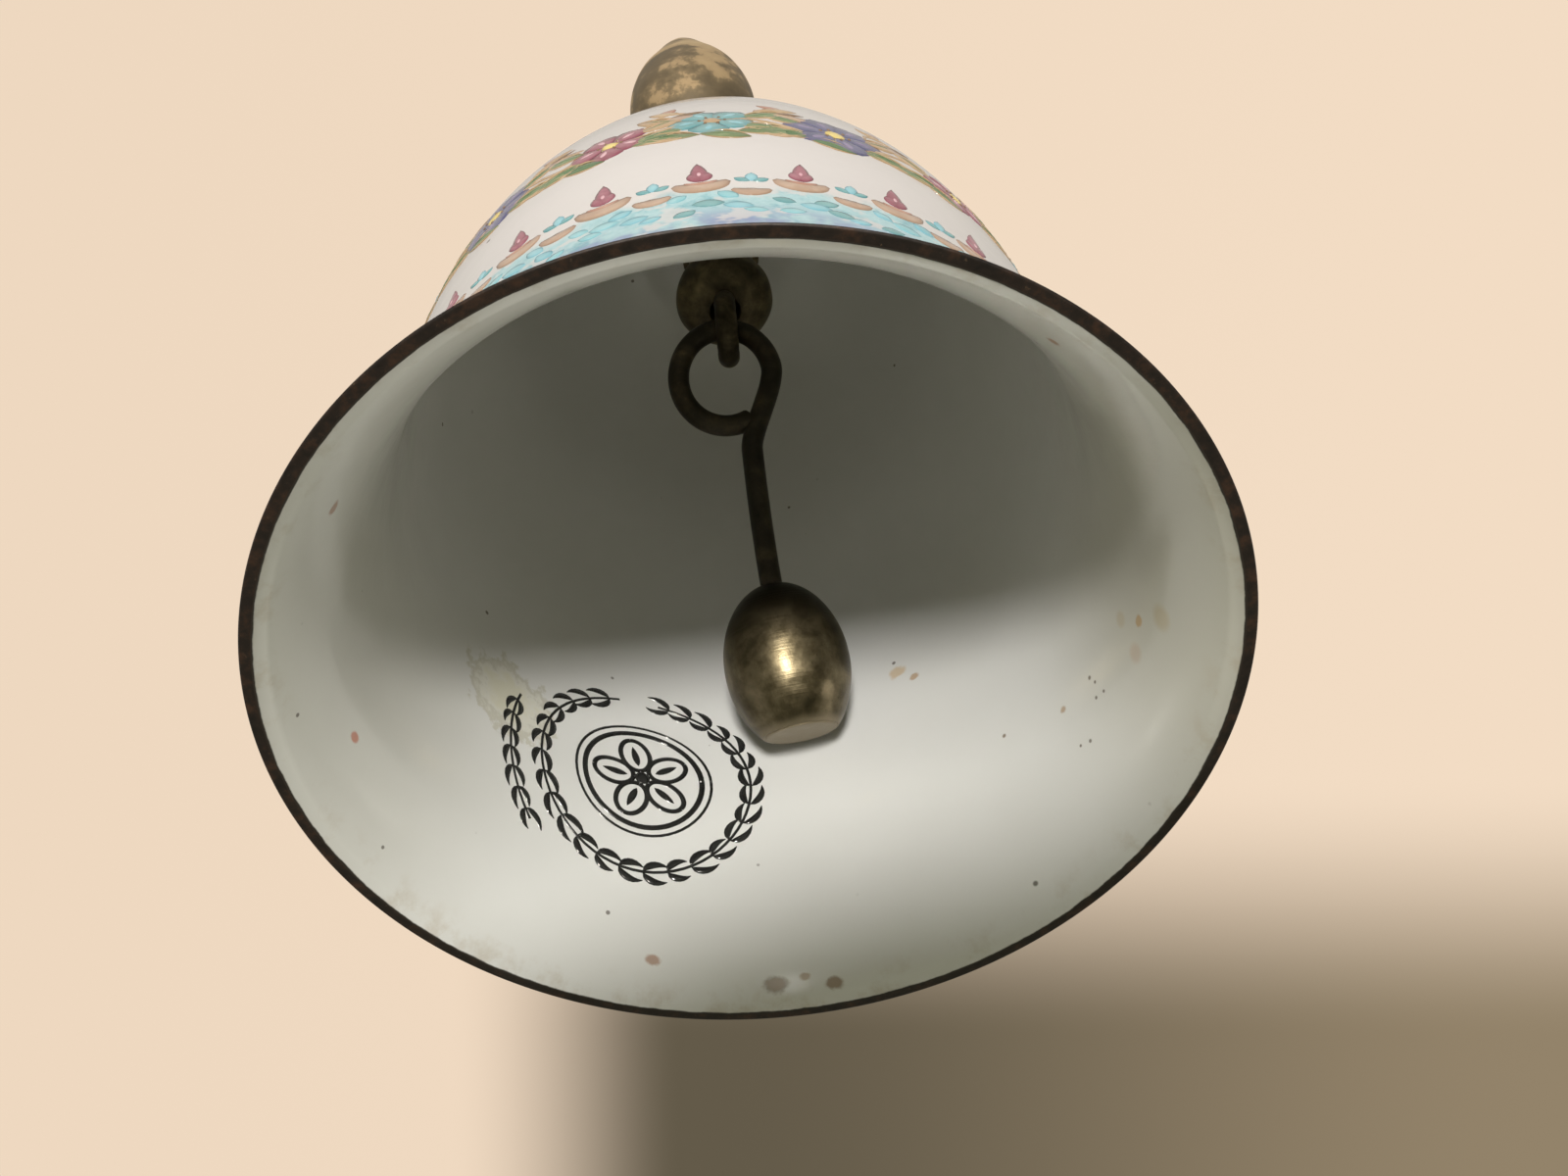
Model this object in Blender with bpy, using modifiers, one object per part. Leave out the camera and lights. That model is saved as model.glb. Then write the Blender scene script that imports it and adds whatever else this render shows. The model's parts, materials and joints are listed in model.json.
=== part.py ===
"""Small table bell: an enamelled sheet-metal bell with a turned brass handle and a clapper that hangs from a wire eye.

Frame: metres, +Z up, the bell standing on its mouth. The origin is the centre of the mouth in the plane of the rim.
The clapper swings about an axis parallel to X that passes through the hole of the eye. At rest it leans to the +Y wall.
"""

import math

import bmesh
import bpy
from mathutils import Matrix, Vector

# ---- driving dimensions (metres) ----
MM = 0.001
GAP = 0.3 * MM  # fit between pieces that touch

MOUTH_RADIUS = 31.0 * MM
WALL = 0.9 * MM  # sheet and enamel together
WAIST_RADIUS = 25.2 * MM
CROWN_TOP = 66.0 * MM  # outer face of the flat crown
CROWN_FLAT_RADIUS = 6.2 * MM
CROWN_HOLE_RADIUS = 2.3 * MM
SHELL_SIDES = 64

STUD_RADIUS = 2.0 * MM
STUD_BOTTOM = 57.3 * MM
STUD_TOP = 80.0 * MM

WASHER_THICKNESS = 0.8 * MM
FOOT_WASHER_RADIUS = 7.6 * MM
INNER_WASHER_RADIUS = 3.6 * MM

HANDLE_TOP = 128.5 * MM
HANDLE_FOOT_RADIUS = 7.2 * MM
HANDLE_GRIP_RADIUS = 7.2 * MM
HANDLE_LEAN = math.radians(2.4)  # the handle, its stud and foot washer lean a little towards -X
HANDLE_PIVOT = 63.0 * MM  # height that they lean about

BOSS_RADIUS = 4.4 * MM
BOSS_NECK_RADIUS = 2.95 * MM
BOSS_BOTTOM = 52.9 * MM
EYE_BORE_TOP = 56.3 * MM

EYE_WIRE_RADIUS = 0.95 * MM
EYE_LOOP_RADIUS = 2.4 * MM  # to the middle of the wire
EYE_BORE_RADIUS = 1.3 * MM

HINGE_HEIGHT = 49.5 * MM
SWING_AT_REST = math.radians(34.5)

WIRE_RADIUS = 0.92 * MM
RING_HALF_WIDTH = 4.05 * MM
RING_HALF_HEIGHT = 4.6 * MM
RING_OFFSET = -0.45 * MM  # the ring hangs a little to one side of its eye
STEM_OFFSET = 1.2 * MM

BEAD_RADIUS = 5.1 * MM
BEAD_HALF_LENGTH = 7.0 * MM
BEAD_FLAT_AT = 5.75 * MM  # below the widest section
BEAD_CENTRE = Vector((2.6 * MM, 0.0, -30.8 * MM))  # in the clapper's own frame
BEAD_TILT = math.radians(6.2)
BEAD_HOLE_RADIUS = 1.25 * MM
BEAD_HOLE_DEPTH = 4.5 * MM


# ---- scene ----
for old in list(bpy.data.objects):
    bpy.data.objects.remove(old, do_unlink=True)

parts = bpy.data.collections.new("table_bell")
bpy.context.scene.collection.children.link(parts)


def material(name, colour, roughness, metallic):
    mat = bpy.data.materials.new(name)
    mat.use_nodes = True
    shader = mat.node_tree.nodes["Principled BSDF"]
    shader.inputs["Base Color"].default_value = (*colour, 1.0)
    shader.inputs["Roughness"].default_value = roughness
    shader.inputs["Metallic"].default_value = metallic
    return mat


ENAMEL = material("white_enamel", (0.80, 0.79, 0.76), 0.12, 0.0)
BRASS = material("aged_brass", (0.42, 0.30, 0.13), 0.38, 1.0)
WASHER_BRASS = material("washer_brass", (0.45, 0.33, 0.15), 0.45, 1.0)
STEEL = material("stud_steel", (0.42, 0.42, 0.42), 0.40, 1.0)
DARK_BRASS = material("darkened_brass", (0.10, 0.075, 0.045), 0.50, 1.0)
WIRE_METAL = material("dark_wire", (0.06, 0.045, 0.03), 0.50, 1.0)
BEAD_METAL = material("bead_brass", (0.30, 0.21, 0.10), 0.35, 1.0)


def smooth(obj, angle=35.0):
    obj.data.shade_smooth()
    obj.data.set_sharp_from_angle(angle=math.radians(angle))


def turned(name, profile, mat, sides):
    """A solid of revolution about its own Z. The profile is (radius, height), open, down its outer side from top to bottom."""
    bm = bmesh.new()
    verts = [bm.verts.new((r, 0.0, z)) for r, z in profile]
    for a, b in zip(verts, verts[1:]):
        bm.edges.new((a, b))
    mesh = bpy.data.meshes.new(name)
    bm.to_mesh(mesh)
    bm.free()
    obj = bpy.data.objects.new(name, mesh)
    parts.objects.link(obj)
    screw = obj.modifiers.new("Screw", "SCREW")
    screw.axis = "Z"
    screw.steps = sides
    screw.render_steps = sides
    screw.use_merge_vertices = True
    screw.merge_threshold = 0.00001
    obj.data.materials.append(mat)
    return obj


def blend(points, steps):
    """Points on a smooth curve through the given (value, height) knots, the same number between each pair."""
    out = []
    count = len(points)
    for i in range(count - 1):
        p0 = points[max(i - 1, 0)]
        p1 = points[i]
        p2 = points[i + 1]
        p3 = points[min(i + 2, count - 1)]
        for k in range(steps):
            t = k / steps
            out.append(
                tuple(
                    0.5
                    * (
                        2 * b
                        + (c - a) * t
                        + (2 * a - 5 * b + 4 * c - d) * t * t
                        + (3 * b - a - 3 * c + d) * t * t * t
                    )
                    for a, b, c, d in zip(p0, p1, p2, p3)
                )
            )
    out.append(tuple(points[-1]))
    return out


# ---- bell shell: one sheet wall, flared lip, straight waist, sloping shoulder, flat crown with a hole ----
def shell_line():
    """The outer side from the crown hole down to the lip, as (radius, height)."""
    knots = [
        (CROWN_FLAT_RADIUS, CROWN_TOP),
        (9.6 * MM, 65.2 * MM),
        (13.2 * MM, 63.2 * MM),
        (16.0 * MM, 60.0 * MM),
        (17.9 * MM, 56.6 * MM),
        (19.6 * MM, 52.0 * MM),
        (21.6 * MM, 46.0 * MM),
        (23.3 * MM, 40.0 * MM),
        (24.4 * MM, 34.0 * MM),
        (25.0 * MM, 28.0 * MM),
        (WAIST_RADIUS, 21.5 * MM),
        (25.5 * MM, 15.5 * MM),
        (26.3 * MM, 10.3 * MM),
        (27.5 * MM, 6.0 * MM),
        (29.1 * MM, 2.7 * MM),
        (MOUTH_RADIUS, 0.0),
    ]
    return [(CROWN_HOLE_RADIUS, CROWN_TOP)] + knots


def offset_line(line, distance):
    """The same line moved inwards by the wall's thickness, at right angles to the line."""
    out = []
    for i, (r, z) in enumerate(line):
        r0, z0 = line[max(i - 1, 0)]
        r1, z1 = line[min(i + 1, len(line) - 1)]
        dr, dz = r1 - r0, z1 - z0
        length = math.hypot(dr, dz)
        out.append((r + dz / length * distance, z - dr / length * distance))
    return out


outer = shell_line()
inner = offset_line(outer, WALL)
inner[0] = (CROWN_HOLE_RADIUS, CROWN_TOP - WALL)
inner[1] = (CROWN_FLAT_RADIUS, CROWN_TOP - WALL)
inner[-1] = (MOUTH_RADIUS - WALL, 0.0)  # the rim is a flat ring in the plane the bell stands on
shell_profile = outer + inner[::-1] + [outer[0]]
shell = turned("bell_shell", shell_profile, ENAMEL, SHELL_SIDES)
smooth(shell, 50)

# ---- handle: turned brass, foot, slender shaft, ogive grip with a rounded tip; a blind bore takes the stud ----
foot_washer_bottom = CROWN_TOP + GAP + 0.1 * MM  # clears the crown where it leans down
foot_bottom = foot_washer_bottom + WASHER_THICKNESS + GAP
handle_knots = [
    (1.45 * MM, HANDLE_TOP - 1.0 * MM),
    (2.05 * MM, 125.6 * MM),
    (2.8 * MM, 123.1 * MM),
    (3.58 * MM, 120.5 * MM),
    (4.45 * MM, 117.2 * MM),
    (5.65 * MM, 112.6 * MM),
    (6.8 * MM, 108.0 * MM),
    (HANDLE_GRIP_RADIUS, 104.0 * MM),
    (6.9 * MM, 100.6 * MM),
    (5.4 * MM, 97.3 * MM),
    (3.8 * MM, 95.0 * MM),
    (3.3 * MM, 93.8 * MM),
    (4.8 * MM, 92.0 * MM),
    (3.3 * MM, 90.2 * MM),
    (3.8 * MM, 86.0 * MM),
    (4.0 * MM, 81.5 * MM),
    (3.5 * MM, 77.0 * MM),
    (5.2 * MM, 74.6 * MM),
    (3.6 * MM, 72.4 * MM),
    (4.6 * MM, 70.2 * MM),
    (HANDLE_FOOT_RADIUS, foot_bottom + 1.5 * MM),
]
handle_profile = (
    [(0.0, HANDLE_TOP), (0.85 * MM, HANDLE_TOP - 0.25 * MM)]
    + blend(handle_knots, 2)
    + [
        (HANDLE_FOOT_RADIUS + 0.2 * MM, foot_bottom + 0.6 * MM),
        (HANDLE_FOOT_RADIUS - 0.2 * MM, foot_bottom),
        (STUD_RADIUS + GAP, foot_bottom),
        (STUD_RADIUS + GAP, STUD_TOP + GAP),
        (0.0, STUD_TOP + GAP),
    ]
)
handle = turned("handle", handle_profile, BRASS, 40)
smooth(handle, 40)


def ring_washer(name, outer_radius, bottom, mat):
    top = bottom + WASHER_THICKNESS
    edge = 0.15 * MM
    profile = [
        (STUD_RADIUS + GAP, top),
        (outer_radius - edge, top),
        (outer_radius, top - edge),
        (outer_radius, bottom + edge),
        (outer_radius - edge, bottom),
        (STUD_RADIUS + GAP, bottom),
        (STUD_RADIUS + GAP, top),
    ]
    washer = turned(name, profile, mat, 40)
    smooth(washer, 30)
    return washer


foot_washer = ring_washer("foot_washer", FOOT_WASHER_RADIUS, foot_washer_bottom, WASHER_BRASS)
inner_washer = ring_washer(
    "inner_washer", INNER_WASHER_RADIUS, CROWN_TOP - WALL - GAP - WASHER_THICKNESS, WASHER_BRASS
)

# ---- tie stud: the threaded rod that holds handle, shell and boss together ----
bevel = 0.3 * MM
stud = turned(
    "tie_stud",
    [
        (0.0, STUD_TOP),
        (STUD_RADIUS - bevel, STUD_TOP),
        (STUD_RADIUS, STUD_TOP - bevel),
        (STUD_RADIUS, STUD_BOTTOM + bevel),
        (STUD_RADIUS - bevel, STUD_BOTTOM),
        (0.0, STUD_BOTTOM),
    ],
    STEEL,
    24,
)
smooth(stud)

handle_frame = bpy.data.objects.new("handle_frame", None)
parts.objects.link(handle_frame)
handle_frame.location = (0.0, 0.0, HANDLE_PIVOT)
handle_frame.rotation_euler = (0.0, -HANDLE_LEAN, 0.0)
for piece in (handle, foot_washer, stud):
    piece.parent = handle_frame
    piece.location = (0.0, 0.0, -HANDLE_PIVOT)

# ---- clapper boss: a ball on a short neck under the crown, bored from above for the stud and from below for the eye ----
boss_top = CROWN_TOP - WALL - WASHER_THICKNESS - 2 * GAP
boss_profile = [
    (STUD_RADIUS + GAP, boss_top),
    (BOSS_NECK_RADIUS + 0.1 * MM, boss_top),
    (BOSS_NECK_RADIUS, boss_top - 0.6 * MM),
    (BOSS_NECK_RADIUS, 60.6 * MM),
    (3.05 * MM, 59.6 * MM),
    (3.4 * MM, 58.7 * MM),
    (3.85 * MM, 57.8 * MM),
    (4.22 * MM, 56.8 * MM),
    (BOSS_RADIUS, 55.8 * MM),
    (4.34 * MM, 54.9 * MM),
    (4.0 * MM, 54.1 * MM),
    (3.3 * MM, 53.3 * MM),
    (2.2 * MM, BOSS_BOTTOM),
    (EYE_BORE_RADIUS, BOSS_BOTTOM),
    (EYE_BORE_RADIUS, EYE_BORE_TOP),
    (0.0, EYE_BORE_TOP),
]
# The stud's bore is a second surface of the same solid, so it is cut after the turning.
boss_solid = [(0.0, boss_top)] + boss_profile[1:]
boss = turned("clapper_boss", boss_solid, DARK_BRASS, 32)

cutters = bpy.data.collections.new("cutters")
bpy.context.scene.collection.children.link(cutters)
bore_bottom = STUD_BOTTOM - GAP
bore_top = boss_top + 1.0 * MM
bpy.ops.mesh.primitive_cylinder_add(
    vertices=32,
    radius=STUD_RADIUS + GAP,
    depth=bore_top - bore_bottom,
    location=(0.0, 0.0, (bore_top + bore_bottom) / 2),
)
bore = bpy.context.active_object
bore.name = "stud_bore_cutter"
for collection in list(bore.users_collection):
    collection.objects.unlink(bore)
cutters.objects.link(bore)
bore.hide_render = True
bore.display_type = "WIRE"
cut = boss.modifiers.new("StudBore", "BOOLEAN")
cut.operation = "DIFFERENCE"
cut.solver = "EXACT"
cut.object = bore
smooth(boss, 40)


def wire(name, points, radius, mat, resolution=2):
    curve = bpy.data.curves.new(name, "CURVE")
    curve.dimensions = "3D"
    curve.bevel_depth = radius
    curve.bevel_resolution = resolution
    curve.use_fill_caps = True
    spline = curve.splines.new("POLY")
    spline.points.add(len(points) - 1)
    for point, place in zip(spline.points, points):
        point.co = (*place, 1.0)
    obj = bpy.data.objects.new(name, curve)
    parts.objects.link(obj)
    curve.materials.append(mat)
    return obj


def hermite(p0, m0, p1, m1, steps):
    """Points strictly between two ends, with the given end tangents."""
    out = []
    for k in range(1, steps):
        t = k / steps
        out.append(
            p0 * (2 * t**3 - 3 * t**2 + 1)
            + m0 * (t**3 - 2 * t**2 + t)
            + p1 * (-2 * t**3 + 3 * t**2)
            + m1 * (t**3 - t**2)
        )
    return out


# ---- clapper eye: a shank bent into a loop in the Y-Z plane, its end stopping short of the shank ----
def eye_points():
    centre = Vector((0.0, 0.0, HINGE_HEIGHT))

    def on_loop(angle):
        return centre + Vector((0.0, math.cos(angle), math.sin(angle))) * EYE_LOOP_RADIUS

    start, end = math.radians(128), math.radians(400)
    shank_top = Vector((0.0, 0.0, EYE_BORE_TOP - GAP))
    shank_end = Vector((0.0, 0.0, 53.7 * MM))
    first = on_loop(start)
    tangent = Vector((0.0, -math.sin(start), math.cos(start)))
    points = [shank_top, shank_top.lerp(shank_end, 0.5), shank_end]
    points += hermite(shank_end, Vector((0, 0, -1)) * 2.0 * MM, first, tangent * 2.0 * MM, 4)
    steps = 20
    points += [on_loop(start + (end - start) * k / steps) for k in range(steps + 1)]
    return points


eye = wire("clapper_eye", eye_points(), EYE_WIRE_RADIUS, DARK_BRASS)

# ---- clapper: its own frame has the hinge as origin and hangs down -Z; the empty leans it to the wall ----
clapper = bpy.data.objects.new("clapper_frame", None)
parts.objects.link(clapper)
clapper.location = (0.0, 0.0, HINGE_HEIGHT)
clapper.rotation_euler = (SWING_AT_REST, 0.0, 0.0)


def wire_points():
    """The ring, its end butting on the stem, then the stem down into the bead."""
    centre = Vector((RING_OFFSET, 0.0, -RING_HALF_HEIGHT))

    def on_ring(angle):
        return centre + Vector((math.cos(angle) * RING_HALF_WIDTH, 0.0, math.sin(angle) * RING_HALF_HEIGHT))

    # from the butted end at the bottom, clockwise over the top, to the right-hand side
    start, end = math.radians(-74), math.radians(-350)
    steps = 26
    points = [on_ring(start + (end - start) * k / steps) for k in range(steps + 1)]
    last = points[-1]
    tangent = Vector((math.sin(end) * RING_HALF_WIDTH, 0.0, -math.cos(end) * RING_HALF_HEIGHT)).normalized()
    stem_top = Vector((STEM_OFFSET + 0.1 * MM, 0.0, -11.6 * MM))
    down = Vector((0.02, 0.0, -1.0)).normalized()
    points += hermite(last, tangent * 6.0 * MM, stem_top, down * 5.5 * MM, 8)
    axis = Vector((math.sin(BEAD_TILT), 0.0, -math.cos(BEAD_TILT)))
    hole_end = BEAD_CENTRE - axis * (BEAD_HALF_LENGTH - BEAD_HOLE_DEPTH + GAP)
    length = (hole_end - stem_top).length
    points.append(stem_top)
    points += hermite(stem_top, down * length, hole_end, axis * length, 8)
    points.append(hole_end)
    return points


clapper_wire = wire("clapper_wire", wire_points(), WIRE_RADIUS, WIRE_METAL)
clapper_wire.parent = clapper


def bead_profile():
    steps = 13
    first = math.asin(min(1.0, (BEAD_HOLE_RADIUS + 0.35 * MM) / BEAD_RADIUS))
    last = math.acos(-BEAD_FLAT_AT / BEAD_HALF_LENGTH)
    line = []
    for k in range(steps + 1):
        a = first + (last - first) * k / steps
        line.append((math.sin(a) * BEAD_RADIUS, math.cos(a) * BEAD_HALF_LENGTH))
    top = line[0][1]
    flat = [(0.0, -BEAD_FLAT_AT)]
    hole = [
        (0.0, BEAD_HALF_LENGTH - BEAD_HOLE_DEPTH),
        (BEAD_HOLE_RADIUS, BEAD_HALF_LENGTH - BEAD_HOLE_DEPTH),
        (BEAD_HOLE_RADIUS, top),
    ]
    return hole + line + flat


bead = turned("clapper_bead", bead_profile(), BEAD_METAL, 32)
bead.parent = clapper
bead.location = BEAD_CENTRE
bead.rotation_euler = (0.0, -BEAD_TILT, 0.0)
smooth(bead, 30)
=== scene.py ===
"""Looks of the table bell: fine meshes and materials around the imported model, with studio stage, lamps and camera."""

import json
import math
import random

import bmesh
import bpy
from mathutils import Matrix, Vector


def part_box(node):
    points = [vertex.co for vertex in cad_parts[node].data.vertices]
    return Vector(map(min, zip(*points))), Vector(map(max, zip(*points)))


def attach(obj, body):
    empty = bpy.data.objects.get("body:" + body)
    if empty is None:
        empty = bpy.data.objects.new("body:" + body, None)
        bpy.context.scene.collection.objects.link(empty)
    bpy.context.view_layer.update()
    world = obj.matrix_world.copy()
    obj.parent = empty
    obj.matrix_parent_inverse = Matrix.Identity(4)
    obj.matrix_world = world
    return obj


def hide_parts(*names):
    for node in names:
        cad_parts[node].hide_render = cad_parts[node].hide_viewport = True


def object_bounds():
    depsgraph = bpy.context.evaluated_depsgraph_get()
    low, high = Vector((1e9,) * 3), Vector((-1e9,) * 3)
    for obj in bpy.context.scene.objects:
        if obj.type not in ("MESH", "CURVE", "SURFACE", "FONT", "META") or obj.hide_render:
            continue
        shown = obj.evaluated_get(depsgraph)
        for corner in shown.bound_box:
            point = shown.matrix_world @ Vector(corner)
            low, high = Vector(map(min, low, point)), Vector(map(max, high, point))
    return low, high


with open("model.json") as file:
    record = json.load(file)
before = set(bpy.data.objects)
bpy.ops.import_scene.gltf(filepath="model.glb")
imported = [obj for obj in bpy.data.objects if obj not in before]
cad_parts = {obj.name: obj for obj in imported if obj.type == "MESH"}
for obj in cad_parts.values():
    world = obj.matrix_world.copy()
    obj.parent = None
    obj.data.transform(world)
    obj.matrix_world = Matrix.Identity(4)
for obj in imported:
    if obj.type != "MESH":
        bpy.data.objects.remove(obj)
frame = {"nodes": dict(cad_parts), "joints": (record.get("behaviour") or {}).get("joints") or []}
cad_low, cad_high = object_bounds()
MM = 0.001
TAU = 2 * math.pi
rng = random.Random(7)

# ------------------------------------------------------------------------------------------------ sizes (mm)
MOUTH_R = cad_high.x / MM
SHELL_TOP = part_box("bell_shell")[1].z / MM
HANDLE_TOP = 128.5
HANDLE_LEAN = Matrix.Translation((0, 0, 63.0 * 0.001)) @ Matrix.Rotation(math.radians(-2.4), 4, "Y") @ Matrix.Translation((0, 0, -63.0 * 0.001))
WALL = 0.9
HINGE = Vector(frame["joints"][0]["pos_m"]) / MM
SWING_REST = math.radians(34.5)
CELLS = 25  # repeats of the painted border round the bell


# ------------------------------------------------------------------------------------------------ small node helpers
class Nodes:
    """Builds a material's node tree with short calls."""

    def __init__(self, name):
        self.mat = bpy.data.materials.new(name)
        self.mat.use_nodes = True
        self.nt = self.mat.node_tree
        self.shader = self.nt.nodes["Principled BSDF"]
        self.out = self.nt.nodes["Material Output"]

    def new(self, kind, **props):
        node = self.nt.nodes.new(kind)
        for key, value in props.items():
            setattr(node, key, value)
        return node

    def link(self, a, b):
        self.nt.links.new(a, b)

    def put(self, socket, value):
        if isinstance(value, bpy.types.NodeSocket):
            self.link(value, socket)
        elif isinstance(value, (tuple, list)) and len(value) == 3 and socket.type == "RGBA":
            socket.default_value = (*value, 1.0)
        else:
            socket.default_value = value

    def math(self, op, a, b=None, c=None, clamp=False):
        node = self.new("ShaderNodeMath", operation=op, use_clamp=clamp)
        for socket, value in zip(node.inputs, (a, b, c)):
            if value is not None:
                self.put(socket, value)
        return node.outputs[0]

    def ramp(self, value, stops, interpolation="LINEAR"):
        node = self.new("ShaderNodeValToRGB")
        node.color_ramp.interpolation = interpolation
        elements = node.color_ramp.elements
        while len(elements) > 1:
            elements.remove(elements[-1])
        for i, (at, colour) in enumerate(stops):
            element = elements[0] if i == 0 else elements.new(at)
            element.position = at
            if isinstance(colour, (int, float)):
                colour = (colour, colour, colour)
            element.color = (*colour, 1.0)
        self.link(value, node.inputs[0])
        return node.outputs[0]

    def step(self, value, low, high):
        node = self.new("ShaderNodeMapRange", interpolation_type="SMOOTHSTEP")
        self.put(node.inputs["Value"], value)
        node.inputs["From Min"].default_value = low
        node.inputs["From Max"].default_value = high
        node.inputs["To Min"].default_value = 0.0
        node.inputs["To Max"].default_value = 1.0
        return node.outputs[0]

    def mix(self, factor, a, b, blend="MIX"):
        node = self.new("ShaderNodeMix", data_type="RGBA", blend_type=blend)
        node.clamp_factor = True
        self.put(node.inputs[0], factor)
        self.put(node.inputs[6], a)
        self.put(node.inputs[7], b)
        return node.outputs[2]

    def place(self, scale=1.0, offset=(0, 0, 0)):
        """Object coordinates in millimetres, scaled."""
        coord = self.new("ShaderNodeTexCoord")
        mapping = self.new("ShaderNodeMapping")
        s = scale if isinstance(scale, (tuple, list)) else (scale,) * 3
        mapping.inputs["Scale"].default_value = tuple(1000.0 * v for v in s)
        mapping.inputs["Location"].default_value = offset
        self.link(coord.outputs["Object"], mapping.inputs["Vector"])
        return mapping.outputs[0]

    def noise(self, scale=1.0, detail=3.0, rough=0.5, vector=None, distortion=0.0, offset=(0, 0, 0)):
        node = self.new("ShaderNodeTexNoise")
        node.inputs["Scale"].default_value = 1.0
        node.inputs["Detail"].default_value = detail
        node.inputs["Roughness"].default_value = rough
        node.inputs["Distortion"].default_value = distortion
        self.link(vector if vector is not None else self.place(scale, offset), node.inputs["Vector"])
        return node.outputs[0]

    def voronoi(self, scale=1.0, feature="F1", offset=(0, 0, 0), randomness=1.0):
        node = self.new("ShaderNodeTexVoronoi", feature=feature)
        node.inputs["Scale"].default_value = 1.0
        node.inputs["Randomness"].default_value = randomness
        self.link(self.place(scale, offset), node.inputs["Vector"])
        return node.outputs

    def bump(self, height, strength, distance=0.0001, normal=None):
        node = self.new("ShaderNodeBump")
        node.inputs["Strength"].default_value = strength
        node.inputs["Distance"].default_value = distance
        self.link(height, node.inputs["Height"])
        if normal is not None:
            self.link(normal, node.inputs["Normal"])
        return node.outputs[0]

    def set(self, **values):
        for key, value in values.items():
            self.put(self.shader.inputs[key.replace("_", " ")], value)
        return self.mat


def srgb(r, g, b):
    """Linear colour from screen values 0-255."""
    def one(v):
        v = v / 255.0
        return v / 12.92 if v <= 0.04045 else ((v + 0.055) / 1.055) ** 2.4

    return one(r), one(g), one(b)


# ------------------------------------------------------------------------------------------------ profile of the shell
SHELL_KNOTS = [
    (31.0, 0.0), (29.1, 2.7), (27.5, 6.0), (26.3, 10.3), (25.5, 15.5), (25.2, 21.5), (25.0, 28.0), (24.4, 34.0),
    (23.3, 40.0), (21.6, 46.0), (19.6, 52.0), (17.9, 56.6), (16.0, 60.0), (13.2, 63.2), (9.6, 65.2), (6.2, 66.0), (2.35, 66.0),
]


def smooth_line(knots, steps):
    """Centripetal-like smooth curve through the knots."""
    out = []
    n = len(knots)
    for i in range(n - 1):
        p0 = Vector(knots[i - 1]) if i > 0 else Vector(knots[0]) * 2 - Vector(knots[1])
        p1, p2 = Vector(knots[i]), Vector(knots[i + 1])
        p3 = Vector(knots[i + 2]) if i + 2 < n else p2 * 2 - p1
        d0, d1, d2 = (p1 - p0).length, (p2 - p1).length, (p3 - p2).length
        m1 = ((p1 - p0) / d0 * d1 + (p2 - p1) / d1 * d0) / (d0 + d1) * d1
        m2 = ((p2 - p1) / d1 * d2 + (p3 - p2) / d2 * d1) / (d1 + d2) * d1
        for k in range(steps):
            t = k / steps
            out.append(
                p1 * (2 * t**3 - 3 * t**2 + 1)
                + m1 * (t**3 - 2 * t**2 + t)
                + p2 * (-2 * t**3 + 3 * t**2)
                + m2 * (t**3 - t**2)
            )
    out.append(Vector(knots[-1]))
    return out


def lengths(line):
    total, out = 0.0, [0.0]
    for a, b in zip(line, line[1:]):
        total += (b - a).length
        out.append(total)
    return out


OUTER = smooth_line(SHELL_KNOTS, 8)
OUTER_S = lengths(OUTER)


def normals_of(line):
    out = []
    for i in range(len(line)):
        a, b = line[max(i - 1, 0)], line[min(i + 1, len(line) - 1)]
        d = (b - a).normalized()
        out.append(Vector((d.y, -d.x)))  # points outwards for a line that runs from rim to crown
    return out


OUTER_N = normals_of(OUTER)


def along(s, line, arc, norm):
    """(point, normal) on the line at arc length s from the rim."""
    s = min(max(s, 0.0), arc[-1])
    lo, hi = 0, len(arc) - 1
    while hi - lo > 1:
        mid = (lo + hi) // 2
        if arc[mid] <= s:
            lo = mid
        else:
            hi = mid
    t = (s - arc[lo]) / max(arc[hi] - arc[lo], 1e-9)
    return line[lo].lerp(line[hi], t), norm[lo].lerp(norm[hi], t).normalized()


def s_at_height(z):
    for i in range(len(OUTER) - 1):
        if OUTER[i].y <= z <= OUTER[i + 1].y:
            t = (z - OUTER[i].y) / max(OUTER[i + 1].y - OUTER[i].y, 1e-9)
            return OUTER_S[i] + t * (OUTER_S[i + 1] - OUTER_S[i])
    return OUTER_S[-1]


def wall_point(phi, s, lift=0.0, inside=False):
    """A point on the bell's wall. phi is the angle from -Y towards +X, s the arc length up from the rim, lift the height above the enamel."""
    p, n = along(s, OUTER, OUTER_S, OUTER_N)
    if inside:
        p = p - n * (WALL + lift)
    else:
        p = p + n * lift
    return Vector((math.sin(phi) * p.x, -math.cos(phi) * p.x, p.y)) * MM


# ------------------------------------------------------------------------------------------------ mesh helpers
def add_object(name, mesh):
    obj = bpy.data.objects.new(name, mesh)
    bpy.context.scene.collection.objects.link(obj)
    return obj


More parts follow.
